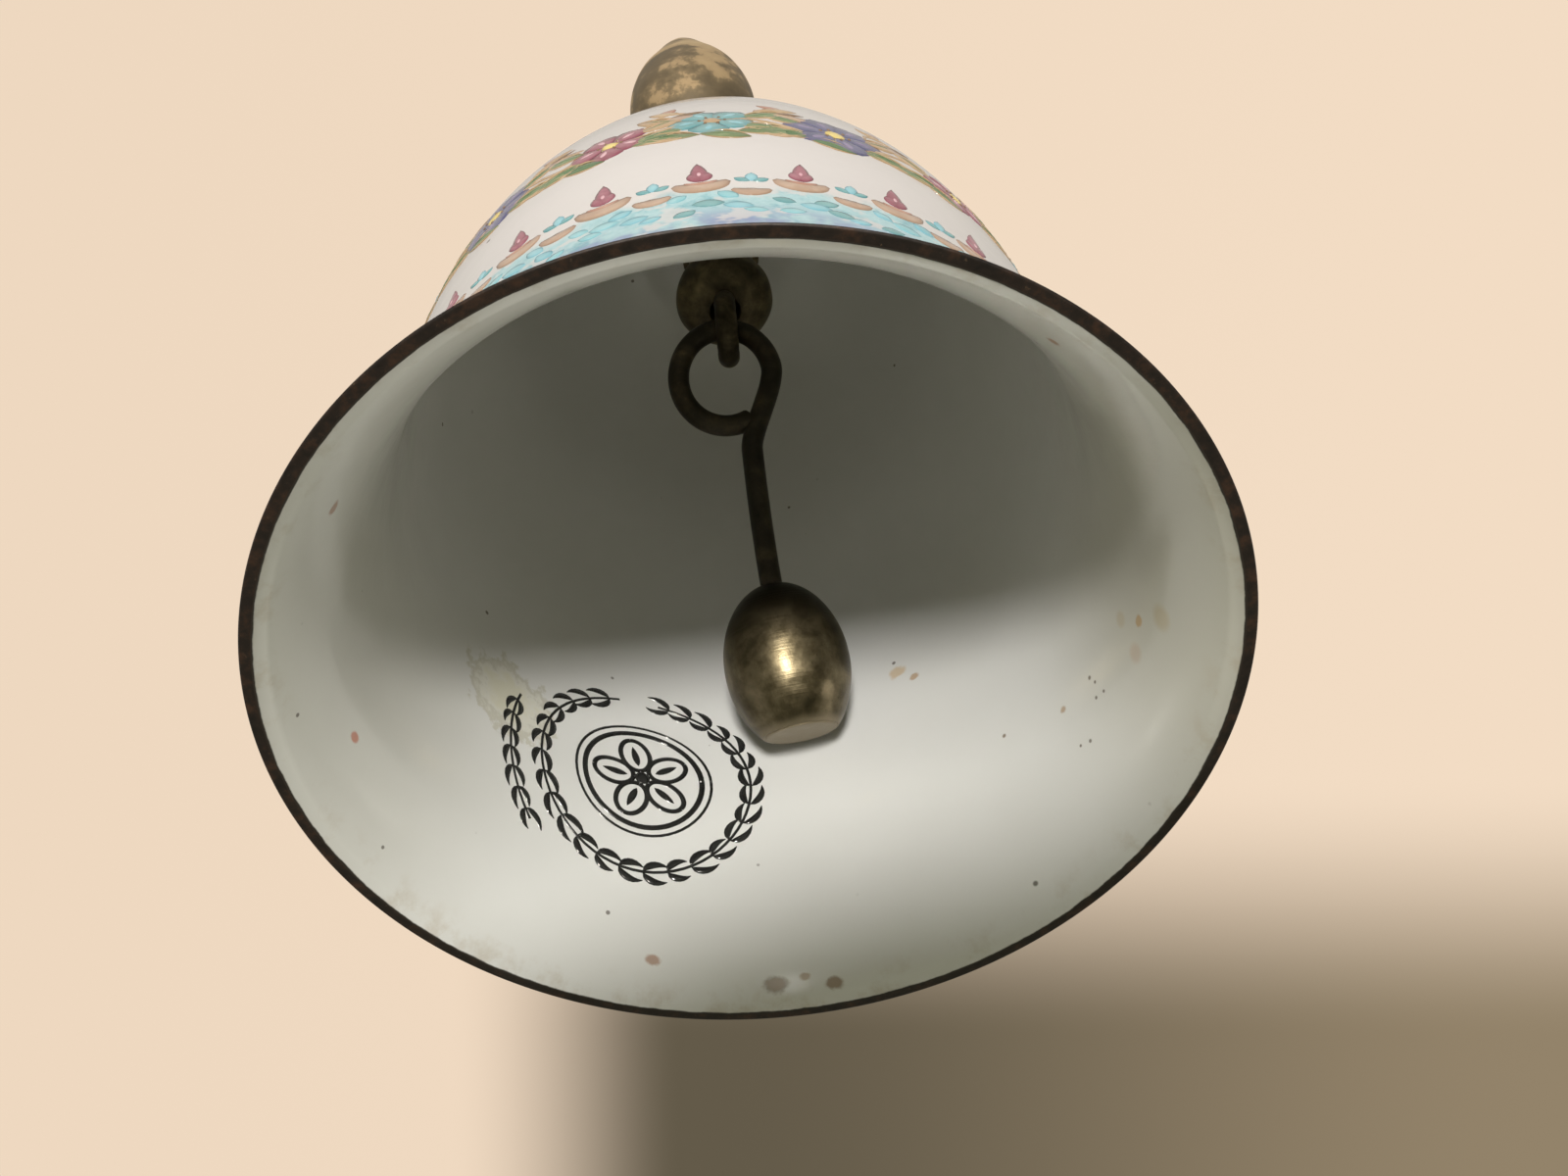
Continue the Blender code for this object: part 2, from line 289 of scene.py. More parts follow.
def turned_mesh(name, line, sides, closed_loop=False, wobble=None):
    """A fine solid of revolution from (radius, height) points in mm. Points with radius 0 close it. UV: u round, v along the line in units of 100 mm."""
    bm = bmesh.new()
    uv = bm.loops.layers.uv.new("UVMap")
    arc = lengths([Vector(p) for p in line])
    rows = []
    for r, z in line:
        if r < 1e-6:
            rows.append([bm.verts.new((0, 0, z * MM))])
        else:
            row = []
            for k in range(sides):
                a = TAU * k / sides
                rr = r + (wobble(a, z) if wobble else 0.0)
                row.append(bm.verts.new((math.sin(a) * rr * MM, -math.cos(a) * rr * MM, z * MM)))
            rows.append(row)
    pairs = list(zip(range(len(rows) - 1), range(1, len(rows))))
    if closed_loop:
        pairs.append((len(rows) - 1, 0))
    for i, j in pairs:
        a, b = rows[i], rows[j]
        si, sj = arc[i] / 100.0, (arc[j] if j else arc[-1]) / 100.0
        for k in range(sides):
            m = (k + 1) % sides
            u0, u1 = k / sides, (k + 1) / sides
            if len(a) > 1 and len(b) > 1:
                f = bm.faces.new((a[k], a[m], b[m], b[k]))
                coords = ((u0, si), (u1, si), (u1, sj), (u0, sj))
            elif len(a) > 1:
                f = bm.faces.new((a[k], a[m], b[0]))
                coords = ((u0, si), (u1, si), ((u0 + u1) / 2, sj))
            elif len(b) > 1:
                f = bm.faces.new((a[0], b[m], b[k]))
                coords = (((u0 + u1) / 2, si), (u1, sj), (u0, sj))
            else:
                continue
            for loop, c in zip(f.loops, coords):
                loop[uv].uv = c
            f.smooth = True
    return bm


def finish_mesh(bm, name, sharp=None):
    mesh = bpy.data.meshes.new(name)
    bm.to_mesh(mesh)
    bm.free()
    if sharp is not None:
        mesh.set_sharp_from_angle(angle=math.radians(sharp))
    return mesh


def tube(name, points, radii, sides=20, caps=True, squeeze=None):
    """A round wire through the points (metres), with a radius for each point (metres) and domed ends."""
    bm = bmesh.new()
    uv = bm.loops.layers.uv.new("UVMap")
    count = len(points)
    tangents = [
        (points[min(i + 1, count - 1)] - points[max(i - 1, 0)]).normalized() for i in range(count)
    ]
    side = tangents[0].orthogonal().normalized()
    rings = []
    total = 0.0
    arc = []
    for i, p in enumerate(points):
        if i:
            total += (p - points[i - 1]).length
            side = (side - tangents[i] * side.dot(tangents[i])).normalized()
        arc.append(total)
        up = tangents[i].cross(side)
        ring = []
        for k in range(sides):
            a = TAU * k / sides
            r = radii[i] * (squeeze(i, a) if squeeze else 1.0)
            ring.append(p + (side * math.cos(a) + up * math.sin(a)) * r)
        rings.append(ring)
    if caps:  # domed ends
        for end in (0, -1):
            centre, direction, base = points[end], tangents[end] * (-1 if end == 0 else 1), rings[end]
            radius = radii[end]
            extra = []
            for k in (1, 2, 3):
                a = math.radians(24 * k)
                extra.append([centre + (v - centre) * math.cos(a) + direction * (math.sin(a) * radius * 0.5) for v in base])
            if end == 0:
                rings = extra[::-1] + rings
                arc = [arc[0]] * 3 + arc
            else:
                rings = rings + extra
                arc = arc + [arc[-1]] * 3
    verts = [[bm.verts.new(v) for v in ring] for ring in rings]
    for i in range(len(verts) - 1):
        for k in range(sides):
            m = (k + 1) % sides
            f = bm.faces.new((verts[i][k], verts[i][m], verts[i + 1][m], verts[i + 1][k]))
            f.smooth = True
            for loop, c in zip(f.loops, ((k, i), (k + 1, i), (k + 1, i + 1), (k, i + 1))):
                loop[uv].uv = (c[0] / sides, arc[c[1]] / 0.1)
    for ring, flip in ((verts[0], True), (verts[-1], False)):
        f = bm.faces.new(ring[::-1] if flip else ring)
        f.smooth = True
    bmesh.ops.recalc_face_normals(bm, faces=bm.faces)
    return bm


def hermite(p0, m0, p1, m1, steps):
    out = []
    for k in range(1, steps):
        t = k / steps
        out.append(
            p0 * (2 * t**3 - 3 * t**2 + 1) + m0 * (t**3 - 2 * t**2 + t) + p1 * (-2 * t**3 + 3 * t**2) + m1 * (t**3 - t**2)
        )
    return out


# ------------------------------------------------------------------------------------------------ materials
def rim_mask(n, width=0.16, ragged=0.16):
    """1 on enamel, 0 on the bare edge: the distance from the rim along the surface, with a ragged border."""
    uvn = n.new("ShaderNodeUVMap", uv_map="UVMap")
    split = n.new("ShaderNodeSeparateXYZ")
    n.link(uvn.outputs[0], split.inputs[0])
    s = n.math("MULTIPLY", split.outputs[1], 100.0)
    wander = n.noise(0.55, 4.0, 0.6)
    edge = n.math("MULTIPLY_ADD", wander, ragged * 2, width - ragged)
    return split, s, n.step(n.math("SUBTRACT", s, edge), 0.0, 0.10)


BARE = srgb(38, 29, 24)


def enamel_outer():
    n = Nodes("enamel_outside")
    split, s, on = rim_mask(n, 0.30, 0.18)
    # scalloped wash of aqua above the rim, deeper blue next to the edge
    cell = n.math("MULTIPLY", split.outputs[0], float(CELLS))
    scallop = n.math("ABSOLUTE", n.math("SINE", n.math("MULTIPLY", n.math("ADD", cell, 0.146), math.pi)))
    wander = n.noise(0.45, 4.0, 0.62)
    fine = n.noise(1.7, 4.0, 0.7, offset=(3, 1, 8))
    top = n.math("MULTIPLY_ADD", scallop, -1.6, 21.2)
    top = n.math("ADD", top, n.math("MULTIPLY_ADD", wander, 3.6, -1.8))
    wash = n.math("SUBTRACT", top, s)
    soft = n.step(wash, -0.8, 1.6)
    body = n.mix(n.math("MULTIPLY_ADD", fine, 1.6, -0.3, clamp=True), srgb(122, 184, 194), srgb(184, 212, 218))
    body = n.mix(n.step(wander, 0.50, 0.66), body, srgb(98, 168, 182))
    low = n.math("MULTIPLY", n.step(s, 17.4, 13.4), n.step(n.noise(0.32, 3.0, 0.6, offset=(7, 3, 1)), 0.36, 0.60))
    body = n.mix(n.math("MULTIPLY", low, 0.9), body, srgb(106, 126, 176))
    lip = n.step(s, 7.0, 1.2)
    body = n.mix(n.math("MULTIPLY", lip, 0.7), body, srgb(70, 92, 146))
    gap = n.step(n.noise(0.42, 3.0, 0.6, offset=(0, 9, 4)), 0.60, 0.50)
    soft = n.math("MULTIPLY", soft, n.math("MULTIPLY_ADD", gap, 0.7, 0.3))
    white = n.mix(n.noise(0.05, 2.0, 0.5), srgb(214, 208, 206), srgb(206, 200, 200))
    colour = n.mix(n.math("MULTIPLY", soft, n.math("MULTIPLY_ADD", fine, 0.5, 0.6, clamp=True)), white, body)
    # a few pinholes and specks in the fired coat
    cells = n.voronoi(0.22, offset=(4, 4, 0))
    speck = n.math("MULTIPLY", n.step(cells["Distance"], 0.055, 0.03), n.step(n.noise(0.09, 1.0), 0.5, 0.56))
    colour = n.mix(n.math("MULTIPLY", speck, 0.7), colour, srgb(70, 60, 52))
    colour = n.mix(on, BARE, colour)
    peel = n.noise(0.42, 2.0, 0.5)
    normal = n.bump(peel, 0.10, 0.0002)
    rough = n.math("MULTIPLY_ADD", n.noise(0.25, 5.0, 0.7), 0.12, 0.06)
    rough = n.math("ADD", rough, n.math("MULTIPLY", n.math("SUBTRACT", 1.0, on), 0.35))
    return n.set(Base_Color=colour, Roughness=rough, Normal=normal, IOR=1.52)


def enamel_inner():
    n = Nodes("enamel_inside")
    split, s, on = rim_mask(n, 0.10, 0.12)
    cloud = n.noise(0.06, 3.0, 0.55)
    colour = n.mix(cloud, srgb(226, 225, 224), srgb(214, 213, 210))
    u = split.outputs[0]

    def patch(phi, at, rx, ry, seed):
        """1 inside a ragged blot centred at angle phi (degrees) and arc length at (mm)."""
        du = n.math("SUBTRACT", u, (phi % 360) / 360.0)
        a = n.math("MULTIPLY", du, TAU * 25.0 / rx)
        b = n.math("MULTIPLY", n.math("SUBTRACT", s, at), 1.0 / ry)
        d = n.math("SQRT", n.math("ADD", n.math("MULTIPLY", a, a), n.math("MULTIPLY", b, b)))
        ragged = n.noise(0.8, 4.0, 0.65, offset=(seed, seed * 2, 0))
        return n.math("ADD", d, n.math("MULTIPLY_ADD", ragged, 1.5, -0.75))

    # painted shade: a darker warm tone on the side walls near the mouth, standing in for the shade that falls there
    right = n.step(n.math("ABSOLUTE", n.math("SUBTRACT", u, 0.225)), 0.135, 0.03)
    left = n.step(n.math("ABSOLUTE", n.math("SUBTRACT", u, 0.745)), 0.135, 0.03)
    side_wall_shade = n.math("MULTIPLY", n.math("MAXIMUM", right, n.math("MULTIPLY", left, 0.38)), n.math("MULTIPLY", n.step(s, 34.0, 8.0), 0.7))
    colour = n.mix(side_wall_shade, colour, srgb(192, 188, 175))

    # yellowish tide mark beside the painted mark
    d = patch(-128, 21.5, 4.2, 3.4, 5.0)
    colour = n.mix(n.math("MULTIPLY", n.step(d, 1.15, 0.3), 0.40), colour, srgb(206, 198, 150))
    ring = n.math("MULTIPLY", n.step(d, 1.18, 0.98), n.step(d, 0.72, 0.95))
    colour = n.mix(n.math("MULTIPLY", ring, 0.30), colour, srgb(150, 138, 84))
    # chips and brown blots near the rim and on the wall
    for phi, at, size, seed, tone in (
        (-160.7, 3.6, 0.55, 1.0, (168, 132, 112)),
        (-179.2, 2.0, 0.85, 2.0, (128, 108, 84)),
        (172.5, 1.6, 0.65, 3.0, (138, 112, 88)),
        (176.5, 2.4, 0.40, 4.0, (160, 138, 112)),
        (150.9, 27.9, 0.8, 6.0, (205, 182, 150)),
        (147.5, 26.4, 0.42, 7.0, (180, 150, 116)),
        (120.0, 12.0, 0.35, 8.0, (176, 150, 124)),
        (96.0, 9.0, 0.45, 9.0, (190, 160, 120)),
        (-100.0, 6.0, 0.4, 11.0, (196, 120, 96)),
        (-60.0, 5.0, 0.5, 12.0, (170, 130, 110)),
        (40.0, 4.0, 0.5, 13.0, (160, 120, 98)),
    ):
        d = patch(phi, at, size, size * 0.8, seed)
        colour = n.mix(n.math("MULTIPLY", n.step(d, 1.2, 0.6), 0.8), colour, srgb(*tone))
    # a few single dark pinholes, and soft stains beside them
    for phi, at, size, tone, full in (
        (112.0, 11.6, 0.17, (84, 74, 62), 0.8), (111.5, 10.9, 0.13, (84, 74, 62), 0.8), (113.0, 10.0, 0.14, (84, 74, 62), 0.8),
        (111.0, 9.7, 0.13, (84, 74, 62), 0.8), (118.5, 8.2, 0.15, (92, 82, 70), 0.8), (120.5, 8.6, 0.12, (92, 82, 70), 0.8),
        (133.0, 14.5, 0.18, (110, 88, 60), 0.8), (-150.0, 30.0, 0.16, (90, 80, 70), 0.7), (139.0, 3.0, 0.2, (70, 60, 50), 0.8),
        (92.0, 6.8, 0.9, (186, 168, 130), 0.5), (101.0, 8.4, 0.7, (196, 170, 150), 0.45), (99.0, 11.0, 0.6, (192, 176, 146), 0.45),
    ):
        a = n.math("MULTIPLY", n.math("SUBTRACT", u, (phi % 360) / 360.0), TAU * 25.0 / size)
        b = n.math("MULTIPLY", n.math("SUBTRACT", s, at), 1.0 / size)
        d = n.math("SQRT", n.math("ADD", n.math("MULTIPLY", a, a), n.math("MULTIPLY", b, b)))
        colour = n.mix(n.math("MULTIPLY", n.step(d, 1.3, 0.5), full), colour, srgb(*tone))
    # tiny dark specks in the ground
    cells = n.voronoi(0.30, offset=(1, 7, 3))
    size = n.math("MULTIPLY_ADD", n.noise(0.31, 1.0, offset=(9, 0, 0)), 0.09, -0.012)
    speck = n.step(n.math("SUBTRACT", cells["Distance"], size), 0.022, 0.0)
    few = n.step(n.noise(0.12, 1.0, offset=(0, 5, 0)), 0.50, 0.58)
    colour = n.mix(n.math("MULTIPLY", n.math("MULTIPLY", speck, few), 0.75), colour, srgb(74, 62, 54))
    # warm dirt under the lip
    grime = n.math("MULTIPLY", n.step(s, 3.2, 0.3), n.step(n.noise(0.35, 5.0, 0.65, offset=(2, 2, 2)), 0.48, 0.70))
    colour = n.mix(n.math("MULTIPLY", grime, 0.35), colour, srgb(176, 158, 132))
    colour = n.mix(on, BARE, colour)
    peel = n.noise(0.38, 2.0, 0.5)
    normal = n.bump(peel, 0.12, 0.0002)
    rough = n.math("MULTIPLY_ADD", n.noise(0.3, 5.0, 0.7), 0.14, 0.09)
    rough = n.math("ADD", rough, n.math("MULTIPLY", n.math("SUBTRACT", 1.0, on), 0.35))
    return n.set(Base_Color=colour, Roughness=rough, Normal=normal, IOR=1.52)


def rim_metal():
    n = Nodes("bare_rim")
    a = n.noise(0.7, 5.0, 0.65)
    b = n.noise(2.2, 4.0, 0.7, offset=(4, 2, 1))
    colour = n.ramp(a, [(0.30, srgb(24, 18, 16)), (0.50, srgb(40, 30, 26)), (0.66, srgb(66, 45, 34)), (0.8, srgb(48, 38, 36))])
    colour = n.mix(n.step(b, 0.62, 0.78), colour, srgb(104, 84, 66))
    height = n.math("ADD", n.math("MULTIPLY", a, 0.6), n.math("MULTIPLY", b, 0.4))
    return n.set(
        Base_Color=colour,
        Roughness=n.math("MULTIPLY_ADD", b, 0.35, 0.32),
        Metallic=0.35,
        Normal=n.bump(height, 0.55, 0.00012),
    )


def patina(name, tones, low, high, metallic=1.0, scale=0.22, rough=(0.28, 0.55), lathe=0.0, pits=0.35, grain=1.6, seed=0.0):
    """Old copper alloy: tones is a list of (position, colour) from tarnished to rubbed bright."""
    n = Nodes(name)
    big = n.noise(scale, 4.0, 0.55, distortion=0.6, offset=(seed, seed, 0))
    mid = n.noise(scale * 3.4, 5.0, 0.65, offset=(seed + 3, 1, seed))
    fine = n.noise(grain, 4.0, 0.7, offset=(1, seed, 5))
    value = n.math("ADD", n.math("MULTIPLY", big, 0.62), n.math("MULTIPLY", mid, 0.38))
    colour = n.ramp(value, [(low + (high - low) * p, c) for p, c in tones])
    dark = n.step(fine, 0.58, 0.72)
    colour = n.mix(n.math("MULTIPLY", dark, pits), colour, tones[0][1])
    height = n.math("ADD", n.math("MULTIPLY", mid, 0.35), n.math("MULTIPLY", fine, 0.30))
    if lathe:
        coord = n.new("ShaderNodeTexCoord")
        split = n.new("ShaderNodeSeparateXYZ")
        n.link(coord.outputs["Object"], split.inputs[0])
        turn = n.new("ShaderNodeTexNoise")
        turn.noise_dimensions = "1D"
        turn.inputs["Scale"].default_value = 1.0
        turn.inputs["Detail"].default_value = 3.0
        n.link(n.math("MULTIPLY", split.outputs[2], 5200.0), turn.inputs["W"])
        height = n.math("ADD", height, n.math("MULTIPLY", turn.outputs[0], lathe))
    return n, colour, value, mid, fine, height


def brass_handle():
    tones = [(0.0, srgb(88, 76, 58)), (0.44, srgb(112, 97, 74)), (0.54, srgb(132, 114, 87)), (0.61, srgb(172, 147, 112)), (1.0, srgb(190, 166, 128))]
    n, colour, value, mid, fine, height = patina("handle_old_brass", tones, 0.38, 0.62, scale=0.055, lathe=0.12, pits=0.2, seed=2.6)
    rough = n.math("MULTIPLY_ADD", mid, 0.25, 0.46)
    return n.set(Base_Color=colour, Roughness=rough, Metallic=0.40, Normal=n.bump(height, 0.18, 0.0001))


def brass_dark(name, seed, tones=None, rough=(0.45, 0.30), strength=0.5, metallic=0.7):
    tones = tones or [(0.0, srgb(56, 48, 36)), (0.4, srgb(92, 82, 62)), (0.75, srgb(126, 112, 84)), (1.0, srgb(156, 138, 104))]
    n, colour, value, mid, fine, height = patina(name, tones, 0.34, 0.70, scale=0.30, pits=0.5, seed=seed)
    r = n.math("MULTIPLY_ADD", mid, rough[0], rough[1])
    return n.set(Base_Color=colour, Roughness=r, Metallic=metallic, Normal=n.bump(height, strength, 0.00015))


def bead_brass():
    tones = [(0.0, srgb(60, 54, 39)), (0.35, srgb(84, 75, 56)), (0.65, srgb(106, 96, 75)), (1.0, srgb(134, 122, 97))]
    n, colour, value, mid, fine, height = patina("bead_dull_brass", tones, 0.34, 0.66, scale=0.26, pits=0.45, lathe=0.35, grain=2.3, seed=6.0)
    coord = n.new("ShaderNodeTexCoord")
    split = n.new("ShaderNodeSeparateXYZ")
    n.link(coord.outputs["Object"], split.inputs[0])
    z = n.math("MULTIPLY", split.outputs[2], 1000.0)
    # the bead is painted darker towards its top, round the hole
    darker_top = n.step(n.math("ADD", z, n.math("MULTIPLY_ADD", mid, 2.4, -1.2)), 0.8, 5.6)
    colour = n.mix(n.math("MULTIPLY", darker_top, 0.88), colour, srgb(34, 27, 18))
    worn = n.step(z, -4.9, -5.65)
    colour = n.mix(n.math("MULTIPLY", worn, 0.75), colour, srgb(146, 134, 112))
    rough = n.math("ADD", n.math("MULTIPLY_ADD", mid, 0.26, 0.24), n.math("MULTIPLY", worn, 0.10))
    return n.set(Base_Color=colour, Roughness=rough, Metallic=0.9, Normal=n.bump(height, 0.28, 0.00012))


def steel_stud():
    n = Nodes("stud_thread_steel")
    coord = n.new("ShaderNodeTexCoord")
    split = n.new("ShaderNodeSeparateXYZ")
    n.link(coord.outputs["Object"], split.inputs[0])
    thread = n.math("SINE", n.math("MULTIPLY", split.outputs[2], TAU / 0.0007))
    a = n.noise(0.5, 4.0, 0.6)
    colour = n.ramp(a, [(0.35, srgb(96, 92, 88)), (0.6, srgb(140, 138, 134)), (0.75, srgb(112, 88, 66))])
    return n.set(Base_Color=colour, Roughness=n.math("MULTIPLY_ADD", a, 0.3, 0.25), Metallic=1.0, Normal=n.bump(thread, 0.8, 0.0003))


def paint(name, colour, light, dark, seed=0.0):
    """Fired enamel colour: pools darker at its outline, thins to a lighter tone in the middle, with brush variation."""
    n = Nodes(name)
    edge = n.new("ShaderNodeAttribute", attribute_name="edge")
    a = n.noise(1.3, 4.0, 0.65, offset=(seed, 2, seed))
    b = n.noise(0.5, 2.0, 0.5, offset=(2, seed, 1))
    base = n.mix(n.step(b, 0.35, 0.65), colour, n_mix(colour, light, 0.45))
    base = n.mix(n.math("MULTIPLY", n.step(a, 0.45, 0.75), 0.55), base, light)
    pool = n.math("MULTIPLY", n.math("POWER", edge.outputs["Fac"], 2.2), 0.65)
    base = n.mix(pool, base, dark)
    rough = n.math("MULTIPLY_ADD", a, 0.14, 0.09)
    return n.set(Base_Color=base, Roughness=rough, IOR=1.52, Normal=n.bump(a, 0.08, 0.0001))


def n_mix(a, b, t):
    return tuple(x * (1 - t) + y * t for x, y in zip(a, b))


PAINTS = {
    "burgundy": paint("paint_burgundy", srgb(146, 82, 96), srgb(182, 128, 140), srgb(112, 54, 70), 1.0),
    "rose": paint("paint_rose", srgb(206, 156, 168), srgb(232, 200, 206), srgb(168, 104, 120), 2.0),
    "turquoise": paint("paint_turquoise", srgb(108, 158, 162), srgb(146, 186, 188), srgb(78, 128, 136), 3.0),
    "lightblue": paint("paint_light_blue", srgb(130, 184, 196), srgb(170, 208, 216), srgb(98, 156, 176), 4.0),
    "aqua": paint("paint_aqua", srgb(138, 190, 198), srgb(176, 210, 216), srgb(110, 168, 182), 4.5),
    "navy": paint("paint_navy", srgb(88, 88, 122), srgb(124, 120, 156), srgb(62, 60, 94), 5.0),
    "violet": paint("paint_violet", srgb(122, 110, 142), srgb(160, 148, 178), srgb(86, 74, 108), 6.0),
    "yellow": paint("paint_yellow", srgb(222, 198, 116), srgb(240, 224, 164), srgb(184, 152, 74), 7.0),
    "green": paint("paint_green", srgb(112, 128, 88), srgb(148, 162, 120), srgb(78, 94, 58), 8.0),
    "darkgreen": paint("paint_dark_green", srgb(82, 108, 72), srgb(112, 138, 98), srgb(56, 78, 50), 9.0),
    "tan": paint("paint_tan", srgb(180, 150, 116), srgb(204, 180, 150), srgb(146, 114, 82), 10.0),
    "rosetan": paint("paint_rose_tan", srgb(178, 150, 130), srgb(200, 176, 158), srgb(150, 120, 100), 10.2),
    "rosewood": paint("paint_rosewood", srgb(176, 132, 114), srgb(202, 166, 150), srgb(138, 96, 82), 10.5),
    "brown": paint("paint_brown", srgb(122, 96, 74), srgb(156, 130, 104), srgb(90, 66, 48), 11.0),
    "ink": paint("paint_ink", srgb(34, 34, 34), srgb(50, 50, 48), srgb(24, 24, 24), 12.0),
}


# ------------------------------------------------------------------------------------------------ brush strokes on the wall
class Strokes:
    """Collects raised brush strokes that follow the bell's wall, as closed thin lens-shaped solids."""

    def __init__(self, name, inside=False):
        self.bm = bmesh.new()
        self.edge = self.bm.verts.layers.float.new("edge")
        self.name = name
        self.inside = inside
        self.slots = []

    def slot(self, key):
        if key not in self.slots:
            self.slots.append(key)
        return self.slots.index(key)

    def ribbon(self, centre, widths, colour, frame_at, lift=0.055, across=4):
        """centre: points (a, b) in mm on the unrolled wall, widths: full width at each. frame_at: (phi, s, turn, scale)."""
        phi0, s0, turn, scale = frame_at
        ct, st = math.cos(turn), math.sin(turn)
        count = len(centre)
        material = self.slot(colour)
        top, low = [], []
        for i, (a, b) in enumerate(centre):
            a0, b0 = centre[max(i - 1, 0)]
            a1, b1 = centre[min(i + 1, count - 1)]
            d = Vector((a1 - a0, b1 - b0))
            d = d.normalized() if d.length > 1e-9 else Vector((1, 0))
            nrm = Vector((-d.y, d.x))
            rt, rl = [], []
            for k in range(across + 1):
                w = (k / across - 0.5) * widths[i]
                x, y = a + nrm.x * w, b + nrm.y * w
                x, y = (x * ct - y * st) * scale, (x * st + y * ct) * scale
                s = s0 + y
                p, _ = along(s, OUTER, OUTER_S, OUTER_N)
                radius = p.x - (WALL if self.inside else 0.0)
                sign = -1.0 if self.inside else 1.0
                phi = phi0 + sign * x / max(radius, 1.0)
                e = abs(2 * k / across - 1)
                ends = min(1.0, 2.2 * min(i, count - 1 - i) / max(count - 1, 1))
                h = lift * (1 - e * e) * min(1.0, ends + 0.15)
                vt = self.bm.verts.new(wall_point(phi, s, 0.012 + h, self.inside))
                vl = self.bm.verts.new(wall_point(phi, s, -0.03, self.inside))
                value = max(e, 1 - ends)
                vt[self.edge] = value
                vl[self.edge] = value
                rt.append(vt)
                rl.append(vl)
            top.append(rt)
            low.append(rl)
        faces = []
        for i in range(count - 1):
            for k in range(across):
                faces.append((top[i][k], top[i][k + 1], top[i + 1][k + 1], top[i + 1][k]))
                faces.append((low[i][k], low[i + 1][k], low[i + 1][k + 1], low[i][k + 1]))
            faces.append((top[i][0], top[i + 1][0], low[i + 1][0], low[i][0]))
            faces.append((top[i][across], low[i][across], low[i + 1][across], top[i + 1][across]))
        for i, order in ((0, 1), (count - 1, -1)):
            for k in range(across):
                quad = (top[i][k], low[i][k], low[i][k + 1], top[i][k + 1])
                faces.append(quad[::order])
        for quad in faces:
            f = self.bm.faces.new(quad)
            f.material_index = material
            f.smooth = True

    def petal(self, length, width, colour, frame_at, fullness=0.55, bend=0.0, start=0.0, lift=0.055, steps=7, across=4):
        """A drop-shaped stroke from the frame's origin along its +b, fullest at the share fullness of its length."""
        centre, widths = [], []
        for i in range(steps + 1):
            t = i / steps
            centre.append((bend * length * t * t, start + length * t))
            shape = math.sin(math.pi * t ** (math.log(0.5) / math.log(fullness)))
            widths.append(max(width * max(shape, 0.0) ** 0.75, 0.02))
        self.ribbon(centre, widths, colour, frame_at, lift, across)

    def dot(self, radius, colour, frame_at, at=(0.0, 0.0), lift=0.06):
        centre, widths = [], []
        for i in range(9):
            t = math.pi * i / 8
            centre.append((at[0], at[1] - radius * math.cos(t)))
            widths.append(max(2 * radius * math.sin(t), 0.02))
        self.ribbon(centre, widths, colour, frame_at, lift)

    def line(self, points, width, colour, frame_at, taper=True, lift=0.04, across=3):
        """A thin brush line through points, smoothed."""
        smooth = smooth_line([tuple(p) for p in points], 5)
        count = len(smooth)
        widths = []
        for i in range(count):
            t = i / (count - 1)
            widths.append(width * (max(0.18, math.sin(math.pi * min(max(t, 0.02), 0.98)) ** 0.5) if taper else 1.0))
        self.ribbon([(p.x, p.y) for p in smooth], widths, colour, frame_at, lift, across)

    def build(self, body):
        bmesh.ops.recalc_face_normals(self.bm, faces=self.bm.faces)
        mesh = bpy.data.meshes.new(self.name)
        self.bm.to_mesh(mesh)
        self.bm.free()
        obj = add_object(self.name, mesh)
        for key in self.slots:
            mesh.materials.append(PAINTS[key])
        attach(obj, body)
        return obj


def turned_frame(frame_at, turn, dx=0.0, dy=0.0):
    """The same place on the wall moved by (dx, dy) mm in its own axes and turned."""
    phi, s, base, scale = frame_at
    ct, st = math.cos(base), math.sin(base)
    x, y = (dx * ct - dy * st) * scale, (dx * st + dy * ct) * scale
    p, _ = along(s + y, OUTER, OUTER_S, OUTER_N)
    return phi + x / p.x, s + y, base + turn, scale


